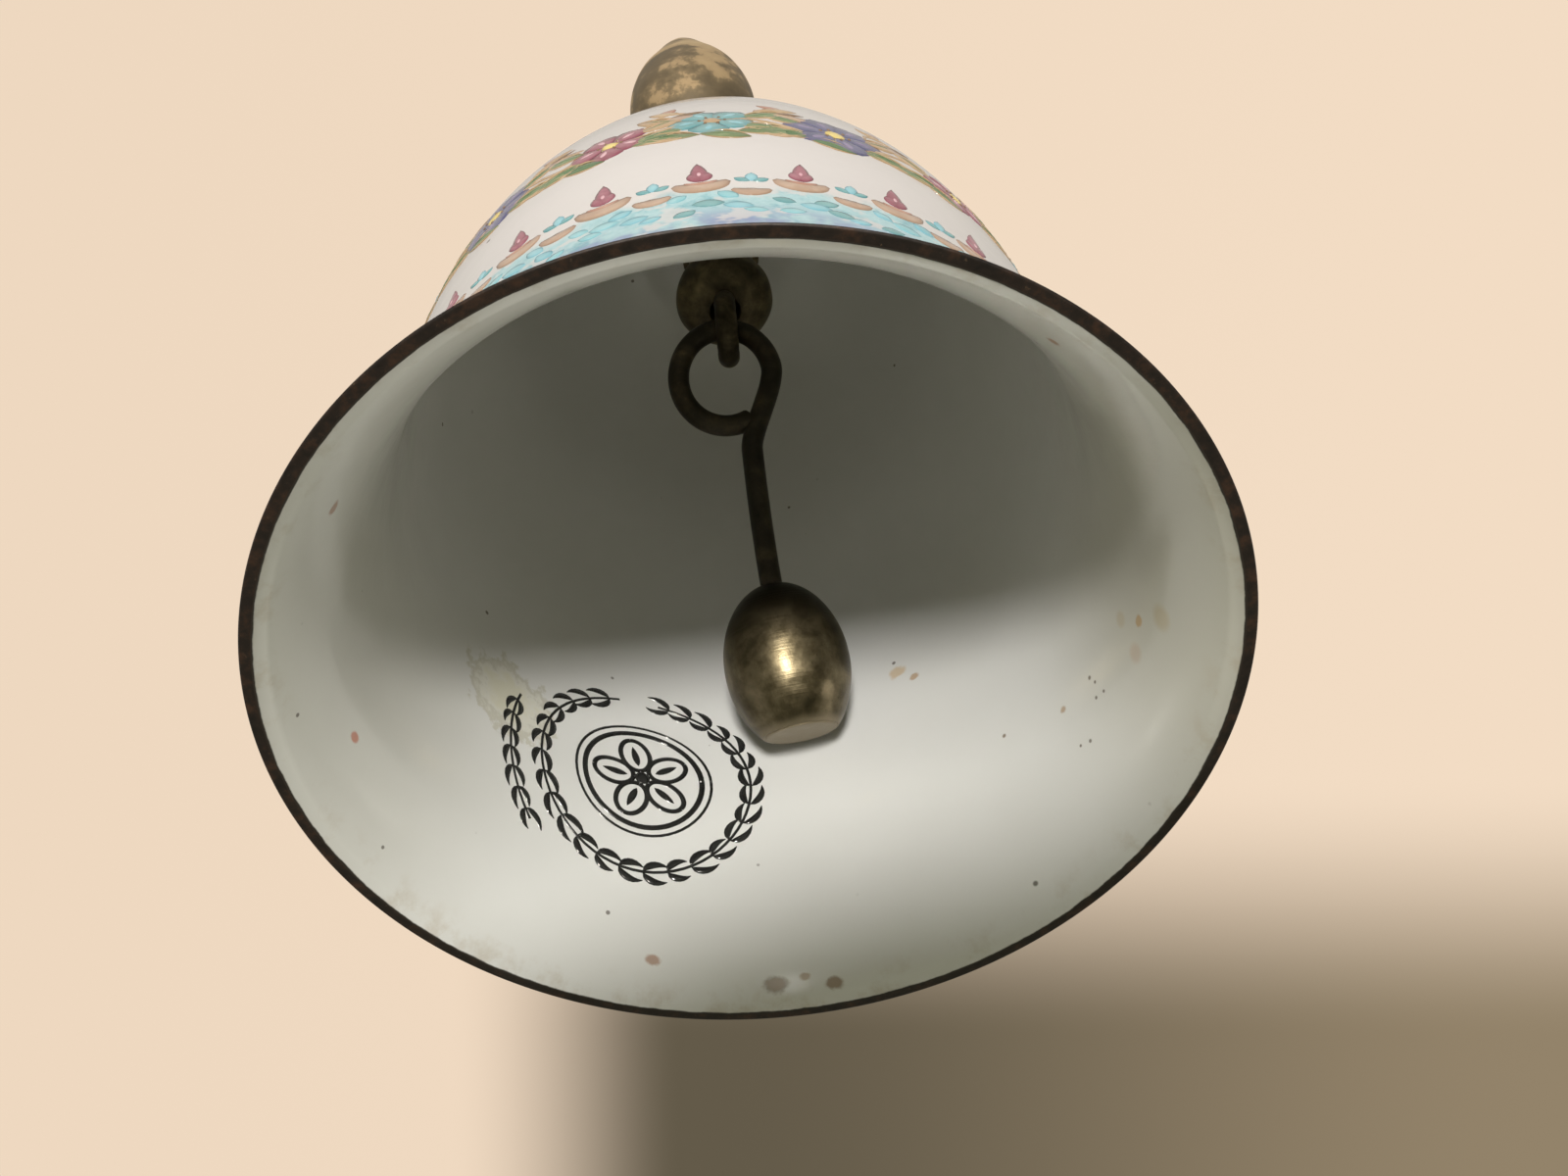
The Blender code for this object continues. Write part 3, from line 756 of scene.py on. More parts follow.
# ------------------------------------------------------------------------------------------------ bell shell
def build_shell():
    rim_round = 0.16
    outer = [(p.x, p.y) for p in OUTER]
    inner = [(p.x - n.x * WALL, p.y - n.y * WALL) for p, n in zip(OUTER, OUTER_N)]
    # the rim: a flat edge in the resting plane with small rounded corners
    outer_start = [q for q in outer if q[1] > rim_round + 0.02]
    inner_start = [q for q in inner if q[1] > rim_round + 0.02 and q[0] < MOUTH_R - WALL - 0.05]
    ro, ri = MOUTH_R, MOUTH_R - WALL
    corner_out = [(ro - rim_round * 1.0 + rim_round * math.cos(a), rim_round - rim_round * math.sin(a)) for a in [math.radians(v) for v in (90, 70, 50, 30, 10)]]
    corner_in = [(ri + rim_round - rim_round * math.cos(a), rim_round - rim_round * math.sin(a)) for a in [math.radians(v) for v in (10, 30, 50, 70, 90)]]
    bm = bmesh.new()
    uv = bm.loops.layers.uv.new("UVMap")
    sides = 288
    crown_hole = 2.35
    arc_o = 0.0
    prev = None
    out_part = []
    for r, z in [corner_out[-1]] + outer_start:
        if prev is not None:
            arc_o += math.hypot(r - prev[0], z - prev[1])
        out_part.append((r, z, 0, arc_o))
        prev = (r, z)
    # the inside coat wraps round on to the inner part of the flat edge
    in_part = []
    arc_i, prev = 0.0, None
    for r, z in [(ro - 0.72, 0.0)] + corner_in[::-1] + inner_start:
        if prev is not None:
            arc_i += math.hypot(r - prev[0], z - prev[1])
        in_part.append((r, z, 1, arc_i))
        prev = (r, z)
    in_part = [q for q in in_part if q[0] > crown_hole + 0.01]
    in_part.append((crown_hole, SHELL_TOP - WALL, 1, in_part[-1][3] + in_part[-1][0] - crown_hole))
    rim = [(r, z, 2, 0.0) for r, z in corner_out[::-1]][1:] + [(ro - 0.30, 0.0, 2, 0.0), (ro - 0.55, 0.0, 2, 0.0)]
    # closed loop: crown hole outside -> rim -> inside -> crown hole
    line = out_part[::-1] + rim + in_part
    rows = []
    for r, z, m, v in line:
        row = []
        for k in range(sides):
            a = TAU * k / sides
            row.append(bm.verts.new((math.sin(a) * r * MM, -math.cos(a) * r * MM, z * MM)))
        rows.append(row)
    count = len(rows)
    for i in range(count):
        j = (i + 1) % count
        for k in range(sides):
            m = (k + 1) % sides
            f = bm.faces.new((rows[i][k], rows[j][k], rows[j][m], rows[i][m]))
            f.smooth = True
            mat = 2 if (line[i][2] == 2 or line[j][2] == 2) else line[i][2]
            if j == 0:
                mat = 2
            f.material_index = mat
            u0, u1 = k / sides, (k + 1) / sides
            vi, vj = line[i][3] / 100.0, line[j][3] / 100.0
            for loop, c in zip(f.loops, ((u0, vi), (u0, vj), (u1, vj), (u1, vi))):
                loop[uv].uv = c
    bmesh.ops.recalc_face_normals(bm, faces=bm.faces)
    mesh = finish_mesh(bm, "enamelled_bell", 60)
    for mat in (enamel_outer(), enamel_inner(), rim_metal()):
        mesh.materials.append(mat)
    obj = add_object("enamelled_bell", mesh)
    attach(obj, "bell")
    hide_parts("bell_shell")
    return obj


build_shell()


# ------------------------------------------------------------------------------------------------ painted border above the rim
def border():
    art = Strokes("painted_border")
    r = random.Random(11)
    step = TAU / CELLS
    first = math.radians(-2.1)
    for c in range(CELLS):
        phi = first + c * step
        j = lambda v: v * (r.random() * 2 - 1)
        # narrow three-petal bud over a boat-shaped stroke
        f = (phi + j(0.006), s_at_height(20.3 + j(0.25)), j(0.06), 1.0 + j(0.06))
        art.petal(3.3, 1.15, "burgundy", turned_frame(f, 0.0, 0.0, -0.1), 0.42)
        art.petal(1.65, 0.95, "burgundy", turned_frame(f, math.radians(18), -0.1, -0.1), 0.5)
        art.petal(1.65, 0.95, "burgundy", turned_frame(f, math.radians(-18), 0.1, -0.1), 0.5)
        art.petal(1.0, 0.42, "rose", turned_frame(f, 0.0, 0.0, 0.7), 0.5, lift=0.085)
        base = turned_frame(f, 0.0, 0.0, -0.85)
        art.line([(-1.75, 0.62), (-1.0, 0.0), (0.0, -0.22), (1.0, 0.0), (1.75, 0.62)], 1.75, "rosetan", base)
        art.line([(-1.05, 0.75), (-0.5, 0.46), (0.0, 0.38), (0.5, 0.46), (1.05, 0.75)], 0.6, "rosewood", base, lift=0.075)
        # small blue trefoil over a short stroke
        g = (phi + step / 2 + j(0.006), s_at_height(19.9 + j(0.2)), j(0.06), 1.0 + j(0.06))
        art.petal(1.5, 0.85, "lightblue", turned_frame(g, 0.0, 0.0, 0.0), 0.5)
        art.petal(1.15, 0.75, "turquoise", turned_frame(g, math.radians(60), -0.1, 0.0), 0.55)
        art.petal(1.15, 0.75, "turquoise", turned_frame(g, math.radians(-60), 0.1, 0.0), 0.55)
        base = turned_frame(g, 0.0, 0.0, -1.75)
        art.line([(-1.2, 0.4), (-0.6, 0.0), (0.0, -0.12), (0.6, 0.0), (1.2, 0.4)], 1.3, "rosetan", base)
        # loose dabs that carry the wash up between the strokes
        for dx, dz, size in ((0.25, 17.4, 1.0), (-0.25, 17.3, 0.9), (0.08, 16.2, 1.2), (-0.12, 15.2, 1.0), (0.38, 15.6, 1.1), (0.5, 14.6, 0.9)):
            h = (phi + dx * step + j(0.012), s_at_height(dz + j(0.5)), j(0.5), 1.0)
            tone = ("turquoise", "lightblue", "aqua", "aqua")[r.randrange(4)]
            art.petal(1.7 * size, 1.15 * size, tone, turned_frame(h, math.radians(90 + r.uniform(-30, 30))), 0.5, start=-0.8, lift=0.03)
    art.build("bell")


# ------------------------------------------------------------------------------------------------ flower garland on the upper wall
def blossom(art, at, petals, size, main, inner, centre, r):
    """A simple round blossom: overlapping petals, paler inner strokes and a dotted centre."""
    for k in range(petals):
        a = TAU * k / petals + r.random() * 0.12
        f = turned_frame(at, a)
        art.petal(size * (0.98 + 0.08 * r.random()), size * 0.98, main, f, 0.62, start=0.06 * size)
    for k in range(petals):
        a = TAU * (k + 0.04 * r.random()) / petals
        f = turned_frame(at, a)
        art.petal(size * 0.58, size * 0.26, inner, f, 0.6, start=0.30 * size, lift=0.085)
    art.dot(size * 0.24, centre, at, lift=0.11)
    for k in range(6):
        a = TAU * k / 6
        art.dot(size * 0.05, "brown", turned_frame(at, 0.0, math.sin(a) * size * 0.30, math.cos(a) * size * 0.30), lift=0.11)


def leaf(art, at, length, width, r, colour="green", bend=0.15):
    art.petal(length, width, colour, at, 0.48, bend=bend, lift=0.05)
    vein = [(bend * length * t * t, length * t) for t in (0.08, 0.35, 0.6, 0.88)]
    art.line(vein, width * 0.10, "darkgreen", at, lift=0.085, across=2)
    for side in (-1, 1):
        edge = []
        for t in (0.02, 0.25, 0.5, 0.75, 0.98):
            w = math.sin(math.pi * t) ** 0.8 * width * 0.52
            edge.append((bend * length * t * t + side * w, length * t))
        art.line(edge, 0.12, "tan", at, lift=0.07, across=2)


def garland():
    art = Strokes("painted_flowers")
    r = random.Random(23)
    groups = 9
    step = TAU / groups
    kinds = [("burgundy", "rose", "yellow", 5), ("turquoise", "lightblue", "tan", 5), ("navy", "violet", "yellow", 6)]
    for g in range(groups * 2):
        kind = kinds[(g + 1) % 3]
        phi = math.radians(0.3 + (3.2 if kind[0] == "burgundy" else 0.0)) + g * step / 2 * 1.0
        z = {"burgundy": 31.7, "turquoise": 32.6, "navy": 32.0}[kind[0]] + r.uniform(-0.15, 0.15)
        size = {"burgundy": 2.9, "turquoise": 3.0, "navy": 3.5}[kind[0]]
        at = (phi, s_at_height(z), r.random() * 0.5, 1.0)
        # stem: one long wave that runs round behind the blossoms
        nxt = step / 2 * 24.6
        stem = (phi, s_at_height(32.0), 0.0, 1.0)
        lift = 1.1 if g % 2 == 0 else -1.1
        art.line([(0.0, 0.4), (nxt * 0.25, lift), (nxt * 0.5, 0.2), (nxt * 0.75, -lift * 0.8), (nxt, 0.2)], 0.6, "tan", stem, taper=False, lift=0.035)
        # leaves round each blossom
        for turn, dist, length, width, colour in (
            (math.radians(118), 2.1, 4.3, 1.9, "green"),
            (math.radians(-118), 2.1, 4.3, 1.9, "green"),
            (math.radians(66), 2.2, 4.0, 1.8, "green" if g % 2 else "tan"),
            (math.radians(-66), 2.2, 4.0, 1.8, "tan" if g % 2 else "green"),
        ):
            f = turned_frame((phi, s_at_height(z), 0.0, 1.0), turn)
            f = turned_frame(f, 0.0, 0.0, dist)
            leaf(art, f, length * (0.9 + 0.2 * r.random()), width, r, colour, bend=0.2 if turn > 0 else -0.2)
        # curling tendrils and berries above
        mid = (phi + step / 4, s_at_height(35.6), 0.0, 1.0)
        side = 1 if g % 2 else -1
        art.line([(-1.6 * side, -1.6), (-1.2 * side, 0.2), (0.0, 0.9), (1.0 * side, 0.3), (0.7 * side, -0.5), (0.1 * side, -0.3)], 0.5, "tan", mid)
        art.petal(2.6, 1.5, "tan", turned_frame(mid, math.radians(70) * side, 0.6 * side, 1.0), 0.5, bend=0.2)
        art.petal(2.3, 1.2, "rosewood", turned_frame(mid, math.radians(-40) * side, -1.0 * side, 1.2), 0.5, bend=-0.2)
        # a pair of slim leaves hanging under the wave and a broad brushed leaf above it
        for dx, dz, turn, length, width, colour in (
            (1.6, -2.7, -76, 3.5, 1.65, "green"),
            (6.4, -2.9, -98, 3.6, 1.75, "green" if g % 2 else "darkgreen"),
            (-1.8, -2.6, 84, 3.2, 1.5, "darkgreen"),
        ):
            f = turned_frame((phi, s_at_height(32.4), 0.0, 1.0), 0.0, dx, dz)
            leaf(art, turned_frame(f, math.radians(turn)), length, width, r, colour, bend=0.15)
        f = turned_frame((phi, s_at_height(32.4), 0.0, 1.0), 0.0, 3.0, 2.3)
        art.petal(4.6, 1.7, "rosetan", turned_frame(f, math.radians(-84)), 0.5, bend=0.25, lift=0.045)
        art.petal(2.6, 0.9, "brown", turned_frame(f, math.radians(-58), 1.2, 0.4), 0.5, bend=0.2, lift=0.06)
        low = (phi + step / 4, s_at_height(29.2), 0.0, 1.0)
        art.line([(-1.4, 1.3), (-0.6, 0.2), (0.5, -0.1), (1.4, 0.6)], 0.5, "tan", low)
        blossom(art, at, kind[3], size, kind[0], kind[1], kind[2], r)
    art.build("bell")


# ------------------------------------------------------------------------------------------------ a plain studio mark inside
def inside_mark():
    art = Strokes("inside_mark", inside=True)
    r = random.Random(5)
    at = (math.radians(-156.8), s_at_height(18.4) - 0.6, math.radians(4), 1.0)

    def arc(radius, a0, a1, steps):
        return [(math.cos(a0 + (a1 - a0) * k / steps) * radius, math.sin(a0 + (a1 - a0) * k / steps) * radius) for k in range(steps + 1)]

    # centre: an open five-petal rosette in a thin ring
    for k in range(5):
        a = TAU * k / 5 + 0.2
        f = (at[0], at[1], at[2] + a, 1.0)
        loop = []
        for i in range(13):
            t = i / 12
            w = math.sin(math.pi * t) * 1.2
            loop.append((w * (1 if i else 0), 0.75 + 3.3 * (1 - math.cos(math.pi * t)) / 2))
        left = [(-x, y) for x, y in loop]
        art.line(loop, 0.42, "ink", f, taper=False, lift=0.02)
        art.line(left, 0.42, "ink", f, taper=False, lift=0.02)
        art.petal(2.1, 0.62, "ink", f, 0.45, start=1.25, lift=0.02)
    art.dot(0.62, "ink", at, lift=0.02)
    for radius, wide in ((4.85, 0.46), (5.6, 0.24)):
        circle = arc(radius, 0.0, TAU, 56)
        art.ribbon(circle, [wide] * len(circle), "ink", at, 0.02, 2)

    def sprig(radius, a0, a1, count, long, wide):
        """A garland: a thin stalk with a slim curved leaf on either side at each step."""
        for k in range(count):
            a = a0 + (a1 - a0) * (k + 0.5) / count
            for side in (1, -1):
                base = radius + side * 0.10
                x, y = math.cos(a) * base, math.sin(a) * base
                turn = a + math.pi / 2 - side * (0.95 + 0.12 * r.random())
                size = long * (0.88 + 0.24 * r.random())
                centre, widths = [], []
                for i in range(8):
                    t = i / 7
                    h = turn + side * 0.75 * t
                    centre.append((x + math.cos(h) * size * t, y + math.sin(h) * size * t))
                    widths.append(max(wide * math.sin(math.pi * t ** 0.8) ** 0.8, 0.06))
                art.ribbon(centre, widths, "ink", at, 0.02, 2)
        stalk = arc(radius, a0, a1, 64)
        art.ribbon(stalk, [0.24] * len(stalk), "ink", at, 0.02, 2)

    sprig(8.75, math.radians(100), math.radians(100 + 338), 27, 2.0, 0.6)
    sprig(11.7, math.radians(158), math.radians(216), 7, 1.75, 0.54)
    art.build("bell")


border()
garland()
inside_mark()


# ------------------------------------------------------------------------------------------------ handle
HANDLE_KNOTS = [
    (1.45, HANDLE_TOP - 1.0), (2.05, 125.6), (2.8, 123.1), (3.58, 120.5), (4.45, 117.2), (5.65, 112.6), (6.8, 108.0),
    (7.2, 104.0), (6.9, 100.6), (5.4, 97.3), (3.8, 95.0), (3.3, 93.8), (4.8, 92.0), (3.3, 90.2), (3.8, 86.0), (4.0, 81.5),
    (3.5, 77.0), (5.2, 74.6), (3.6, 72.4), (4.6, 70.2), (7.2, 69.0),
]


def build_handle():
    foot = SHELL_TOP + 1.5
    dome = [(1.5 * math.sin(math.radians(a)), HANDLE_TOP - 1.0 + 1.0 * math.cos(math.radians(a))) for a in (0, 15, 30, 45, 60)]
    body = [(p.x, p.y) for p in smooth_line(HANDLE_KNOTS, 9)]
    line = dome + body
    line += [(7.38, 68.7), (7.4, 68.3), (7.4, 68.0), (7.3, 67.72), (7.05, foot), (6.4, foot), (2.4, foot), (2.3, foot + 0.1), (2.3, 80.3), (0.0, 80.3)]
    # the two turned beads get crisp shoulders
    bm = turned_mesh("handle", line, 144)
    bmesh.ops.recalc_face_normals(bm, faces=bm.faces)
    mesh = finish_mesh(bm, "turned_handle", 40)
    mesh.materials.append(brass_handle())
    obj = add_object("turned_handle", mesh)
    mesh.transform(HANDLE_LEAN)
    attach(obj, "bell")
    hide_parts("handle")


build_handle()


# ------------------------------------------------------------------------------------------------ washers, stud, boss
def build_washer(name, node, outer_r, low, mat, place=Matrix()):
    high = low + 0.8
    edge = 0.16
    line = []
    bore = 2.3
    for a in (0, 30, 60, 90):
        t = math.radians(a)
        line.append((outer_r - edge + edge * math.sin(t), high - edge + edge * math.cos(t)))
    for a in (90, 60, 30, 0):
        t = math.radians(a)
        line.append((outer_r - edge + edge * math.sin(t), low + edge - edge * math.cos(t)))
    line += [(bore + 0.08, low), (bore, low + 0.08), (bore, high - 0.08), (bore + 0.08, high)]
    bm = turned_mesh(name, line, 128, closed_loop=True)
    bmesh.ops.recalc_face_normals(bm, faces=bm.faces)
    mesh = finish_mesh(bm, name, 40)
    mesh.materials.append(mat)
    obj = add_object(name, mesh)
    mesh.transform(place)
    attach(obj, "bell")
    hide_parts(node)


washer_tones = [(0.0, srgb(66, 54, 36)), (0.35, srgb(104, 88, 56)), (0.7, srgb(146, 124, 78)), (1.0, srgb(176, 152, 100))]
build_washer("dished_foot_washer", "foot_washer", 7.6, SHELL_TOP + 0.4, brass_dark("washer_brass_outer", 14.0, washer_tones, metallic=0.85, strength=0.3), HANDLE_LEAN)
build_washer("crown_inner_washer", "inner_washer", 3.6, SHELL_TOP - WALL - 1.1, brass_dark("washer_brass_inner", 17.0, metallic=0.8, strength=0.3))
stud = frame["nodes"]["tie_stud"]
stud.data.materials.clear()
stud.data.materials.append(steel_stud())


def build_boss():
    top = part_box("clapper_boss")[1].z / MM
    knots = [
        (3.05, top), (2.97, top - 0.6), (2.95, 61.6), (2.97, 60.4), (3.08, 59.5), (3.42, 58.6), (3.86, 57.7), (4.2, 56.8),
        (4.38, 55.8), (4.33, 54.9), (4.0, 54.1), (3.3, 53.35), (2.2, 52.92),
    ]
    line = [(2.3, top)] + [(p.x, p.y) for p in smooth_line(knots, 7)] + [(1.45, 52.9), (1.3, 53.05), (1.3, 56.3), (0.0, 56.3)]
    bm = turned_mesh("boss", line, 128)
    # the stud's bore closes the top
    top_ring = [v for v in bm.verts if abs(v.co.z / MM - top) < 1e-4 and abs(v.co.xy.length / MM - 2.3) < 1e-3]
    top_ring.sort(key=lambda v: math.atan2(v.co.y, v.co.x))
    count = len(top_ring)
    last = top_ring
    for z in (60.0, 57.0):
        ring = [bm.verts.new((v.co.x, v.co.y, z * MM)) for v in top_ring]
        for k in range(count):
            f = bm.faces.new((last[k], last[(k + 1) % count], ring[(k + 1) % count], ring[k]))
            f.smooth = True
        last = ring
    bm.faces.new(last)
    # hammered, slightly lumpy casting
    for v in bm.verts:
        rad = v.co.xy.length / MM
        if rad > 2.6:
            a = math.atan2(v.co.y, v.co.x)
            z = v.co.z / MM
            d = 0.025 * math.sin(3 * a + z * 0.8) + 0.018 * math.sin(7 * a - z * 1.7) - 0.045
            v.co.x *= 1 + d / rad
            v.co.y *= 1 + d / rad
    bmesh.ops.recalc_face_normals(bm, faces=bm.faces)
    mesh = finish_mesh(bm, "clapper_boss_nut", 45)
    mesh.materials.append(brass_dark("boss_dark_brass", 21.0))
    obj = add_object("clapper_boss_nut", mesh)
    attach(obj, "bell")
    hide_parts("clapper_boss")


build_boss()


# ------------------------------------------------------------------------------------------------ clapper eye
def build_eye():
    centre = HINGE * MM
    loop_r = 2.4 * MM
    wire_r = 0.95 * MM
    on_loop = lambda a: centre + Vector((0.0, math.cos(a), math.sin(a))) * loop_r
    start, end = math.radians(128), math.radians(400)
    shank_top, shank_end = Vector((0, 0, 56.0 * MM)), Vector((0, 0, 53.7 * MM))
    first = on_loop(start)
    tangent = Vector((0.0, -math.sin(start), math.cos(start)))
    points = [shank_top.lerp(shank_end, k / 6) for k in range(7)]
    points += hermite(shank_end, Vector((0, 0, -1)) * 2.0 * MM, first, tangent * 2.0 * MM, 10)
    steps = 64
    points += [on_loop(start + (end - start) * k / steps) for k in range(steps + 1)]
    radii = []
    for i in range(len(points)):
        radii.append(wire_r * (0.985 + 0.012 * math.sin(i * 0.9) - (0.04 if i > len(points) - 4 else 0.0)))
    bm = tube("eye", points, radii, 28)
    mesh = finish_mesh(bm, "clapper_eye_loop")
    tones = [(0.0, srgb(70, 62, 46)), (0.4, srgb(110, 98, 74)), (0.75, srgb(150, 136, 104)), (1.0, srgb(184, 170, 134))]
    # painted shade: the same tones made darker, standing in for the shade the eye sits in under the crown
    tones = [(0.0, srgb(44, 39, 30)), (0.4, srgb(76, 67, 51)), (0.75, srgb(116, 104, 80)), (1.0, srgb(156, 142, 112))]
    mesh.materials.append(brass_dark("eye_brass_painted_shade", 31.0, tones, metallic=0.8))
    obj = add_object("clapper_eye_loop", mesh)
    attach(obj, "bell")
    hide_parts("clapper_eye")


build_eye()

# ------------------------------------------------------------------------------------------------ clapper wire and bead
LEAN = Matrix.Translation(HINGE * MM) @ Matrix.Rotation(SWING_REST, 4, "X")
BEAD_AT = Vector((2.6, 0.0, -30.8))
BEAD_TILT = math.radians(6.2)


def build_wire():
    ring_c = Vector((-0.45, 0.0, -4.6))
    on_ring = lambda a: ring_c + Vector((math.cos(a) * 4.05, 0.0, math.sin(a) * 4.6))
    start, end = math.radians(-66), math.radians(-350)
    steps = 84
    points = [on_ring(start + (end - start) * k / steps) for k in range(steps + 1)]
    tangent = Vector((math.sin(end) * 4.05, 0.0, -math.cos(end) * 4.6)).normalized()
    stem_top = Vector((1.3, 0.0, -11.6))
    down = Vector((0.02, 0.0, -1.0)).normalized()
    points += hermite(points[-1], tangent * 6.0, stem_top, down * 5.5, 28)
    axis = Vector((math.sin(BEAD_TILT), 0.0, -math.cos(BEAD_TILT)))
    hole_end = BEAD_AT - axis * (7.0 - 4.5 + 0.3)
    length = (hole_end - stem_top).length
    points.append(stem_top)
    points += hermite(stem_top, down * length, hole_end, axis * length, 40)
    points.append(hole_end)
    r = random.Random(3)
    radii, level = [], 0.0
    for i in range(len(points)):
        level = level * 0.8 + (r.random() - 0.5) * 0.012
        radii.append(0.915 * (1.0 - 0.004 + level * 0.5) * MM)
    moved = [LEAN @ (p * MM) for p in points]
    bm = tube("wire", moved, radii, 28)
    mesh = finish_mesh(bm, "clapper_ring_wire")
    tones = [(0.0, srgb(36, 32, 26)), (0.45, srgb(54, 48, 38)), (0.8, srgb(76, 66, 52)), (1.0, srgb(108, 94, 70))]
    mesh.materials.append(brass_dark("wire_black_oxide", 41.0, tones, rough=(0.42, 0.26), strength=0.35, metallic=0.6))
    obj = add_object("clapper_ring_wire", mesh)
    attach(obj, "clapper")
    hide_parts("clapper_wire")


def build_bead():
    first = math.asin(1.6 / 5.1)
    last = math.acos(-5.75 / 7.0)
    line = [(0.0, 2.5), (1.2, 2.5), (1.25, 2.6), (1.25, 6.55), (1.32, 6.66), (1.45, 6.68)]
    steps = 60
    edge = 0.14
    arc = []
    for k in range(steps + 1):
        a = first + (last - first) * k / steps
        arc.append((math.sin(a) * 5.1, math.cos(a) * 7.0))
    line += arc[:-1]
    r_end = arc[-1][0]
    line += [(r_end + 0.02, -5.60), (r_end - 0.03, -5.70), (r_end - edge, -5.745), (r_end - edge * 2, -5.75), (r_end * 0.66, -5.745), (r_end * 0.33, -5.735), (0.0, -5.73)]
    r = random.Random(9)
    dents = [(r.random() * TAU, -4.0 + 8.5 * r.random(), 0.7 + 0.9 * r.random(), 0.03 + 0.05 * r.random()) for _ in range(26)]

    def wobble(a, z):
        d = 0.0
        if z < -5.5 or z > 6.4:
            return 0.0
        for da, dz, size, depth in dents:
            dx = ((a - da + math.pi) % TAU - math.pi) * 4.6
            q = (dx * dx + (z - dz) ** 2) / (size * size)
            if q < 4:
                d -= depth * math.exp(-q * 1.6)
        return d

    bm = turned_mesh("bead", line, 160, wobble=wobble)
    bmesh.ops.recalc_face_normals(bm, faces=bm.faces)
    mesh = finish_mesh(bm, "clapper_bead_egg", 35)
    mesh.materials.append(bead_brass())
    obj = add_object("clapper_bead_egg", mesh)
    obj.matrix_world = LEAN @ Matrix.Translation(BEAD_AT * MM) @ Matrix.Rotation(-BEAD_TILT, 4, "Y")
    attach(obj, "clapper")
    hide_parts("clapper_bead")


build_wire()
build_bead()


# ------------------------------------------------------------------------------------------------ stage
def build_floor():
    """A pale floor under the bell. It is one-sided: the picture's camera looks up through it into the mouth."""
    bm = bmesh.new()
    bmesh.ops.create_circle(bm, cap_ends=True, radius=1.6, segments=96)
    mesh = bpy.data.meshes.new("floor")
    bm.to_mesh(mesh)
    bm.free()
    floor = add_object("floor", mesh)
    floor.location.z = -0.00015
    n = Nodes("pale_floor")
    coord = n.new("ShaderNodeTexCoord")
    dist = n.new("ShaderNodeVectorMath", operation="LENGTH")
    n.link(coord.outputs["Object"], dist.inputs[0])
    fade = n.step(dist.outputs["Value"], 0.35, 1.5)
    geo = n.new("ShaderNodeNewGeometry")
    hide = n.math("MAXIMUM", fade, geo.outputs["Backfacing"])
    n.set(Base_Color=srgb(232, 216, 192), Roughness=0.7, Specular_IOR_Level=0.2)
    clear = n.new("ShaderNodeBsdfTransparent")
    mix = n.new("ShaderNodeMixShader")
    n.link(hide, mix.inputs[0])
    n.link(n.shader.outputs[0], mix.inputs[1])
    n.link(clear.outputs[0], mix.inputs[2])
    n.link(mix.outputs[0], n.out.inputs["Surface"])
    mesh.materials.append(n.mat)
    floor.visible_shadow = False
    floor.visible_diffuse = False
    floor.visible_glossy = False


build_floor()


def area(name, place, target, size, power, colour, size_y=None, spread=180):
    data = bpy.data.lights.new(name, "AREA")
    data.shape = "RECTANGLE" if size_y else "DISK"
    data.size = size
    if size_y:
        data.size_y = size_y
    data.energy = power
    data.color = colour
    data.spread = math.radians(spread)
    obj = bpy.data.objects.new(name, data)
    bpy.context.scene.collection.objects.link(obj)
    obj.location = place
    direction = Vector(target) - Vector(place)
    obj.rotation_mode = "QUATERNION"
    obj.rotation_quaternion = direction.to_track_quat("-Z", "Y")
    return obj


KEY_DIR = Vector((-0.03, -0.84, -0.498)).normalized()
KEY_AT = KEY_DIR * 0.9 + Vector((0, 0, 0.02))
key = area("key", KEY_AT, (0, 0.0, 0.02), 0.15, 7.9, (1.0, 0.985, 0.945))
key.visible_glossy = False
glint = area("glint", KEY_AT, (0, 0.0, 0.02), 0.012, 11.0, (1.0, 0.96, 0.88))
glint.visible_diffuse = False
for name, at, power, colour in (
    ("sky_left", (-0.55, -0.75, 0.75), 3.4, (1.0, 0.97, 0.93)),
    ("sky_right", (0.85, 0.1, 0.65), 3.2, (1.0, 0.96, 0.91)),
    ("sky_back", (-0.35, 0.95, 0.6), 3.6, (1.0, 0.97, 0.94)),
    ("lip_fill", (0.0, 0.572, -0.18), 0.0025, (1.0, 0.97, 0.88)),
):
    if at[2] > 0:
        lamp = area(name, at, (0, 0, 0.05), 0.6, power, colour)
    else:
        lamp = area(name, at, (0, -0.029, 0.0), 0.05, power, colour, spread=8)
    lamp.visible_glossy = False


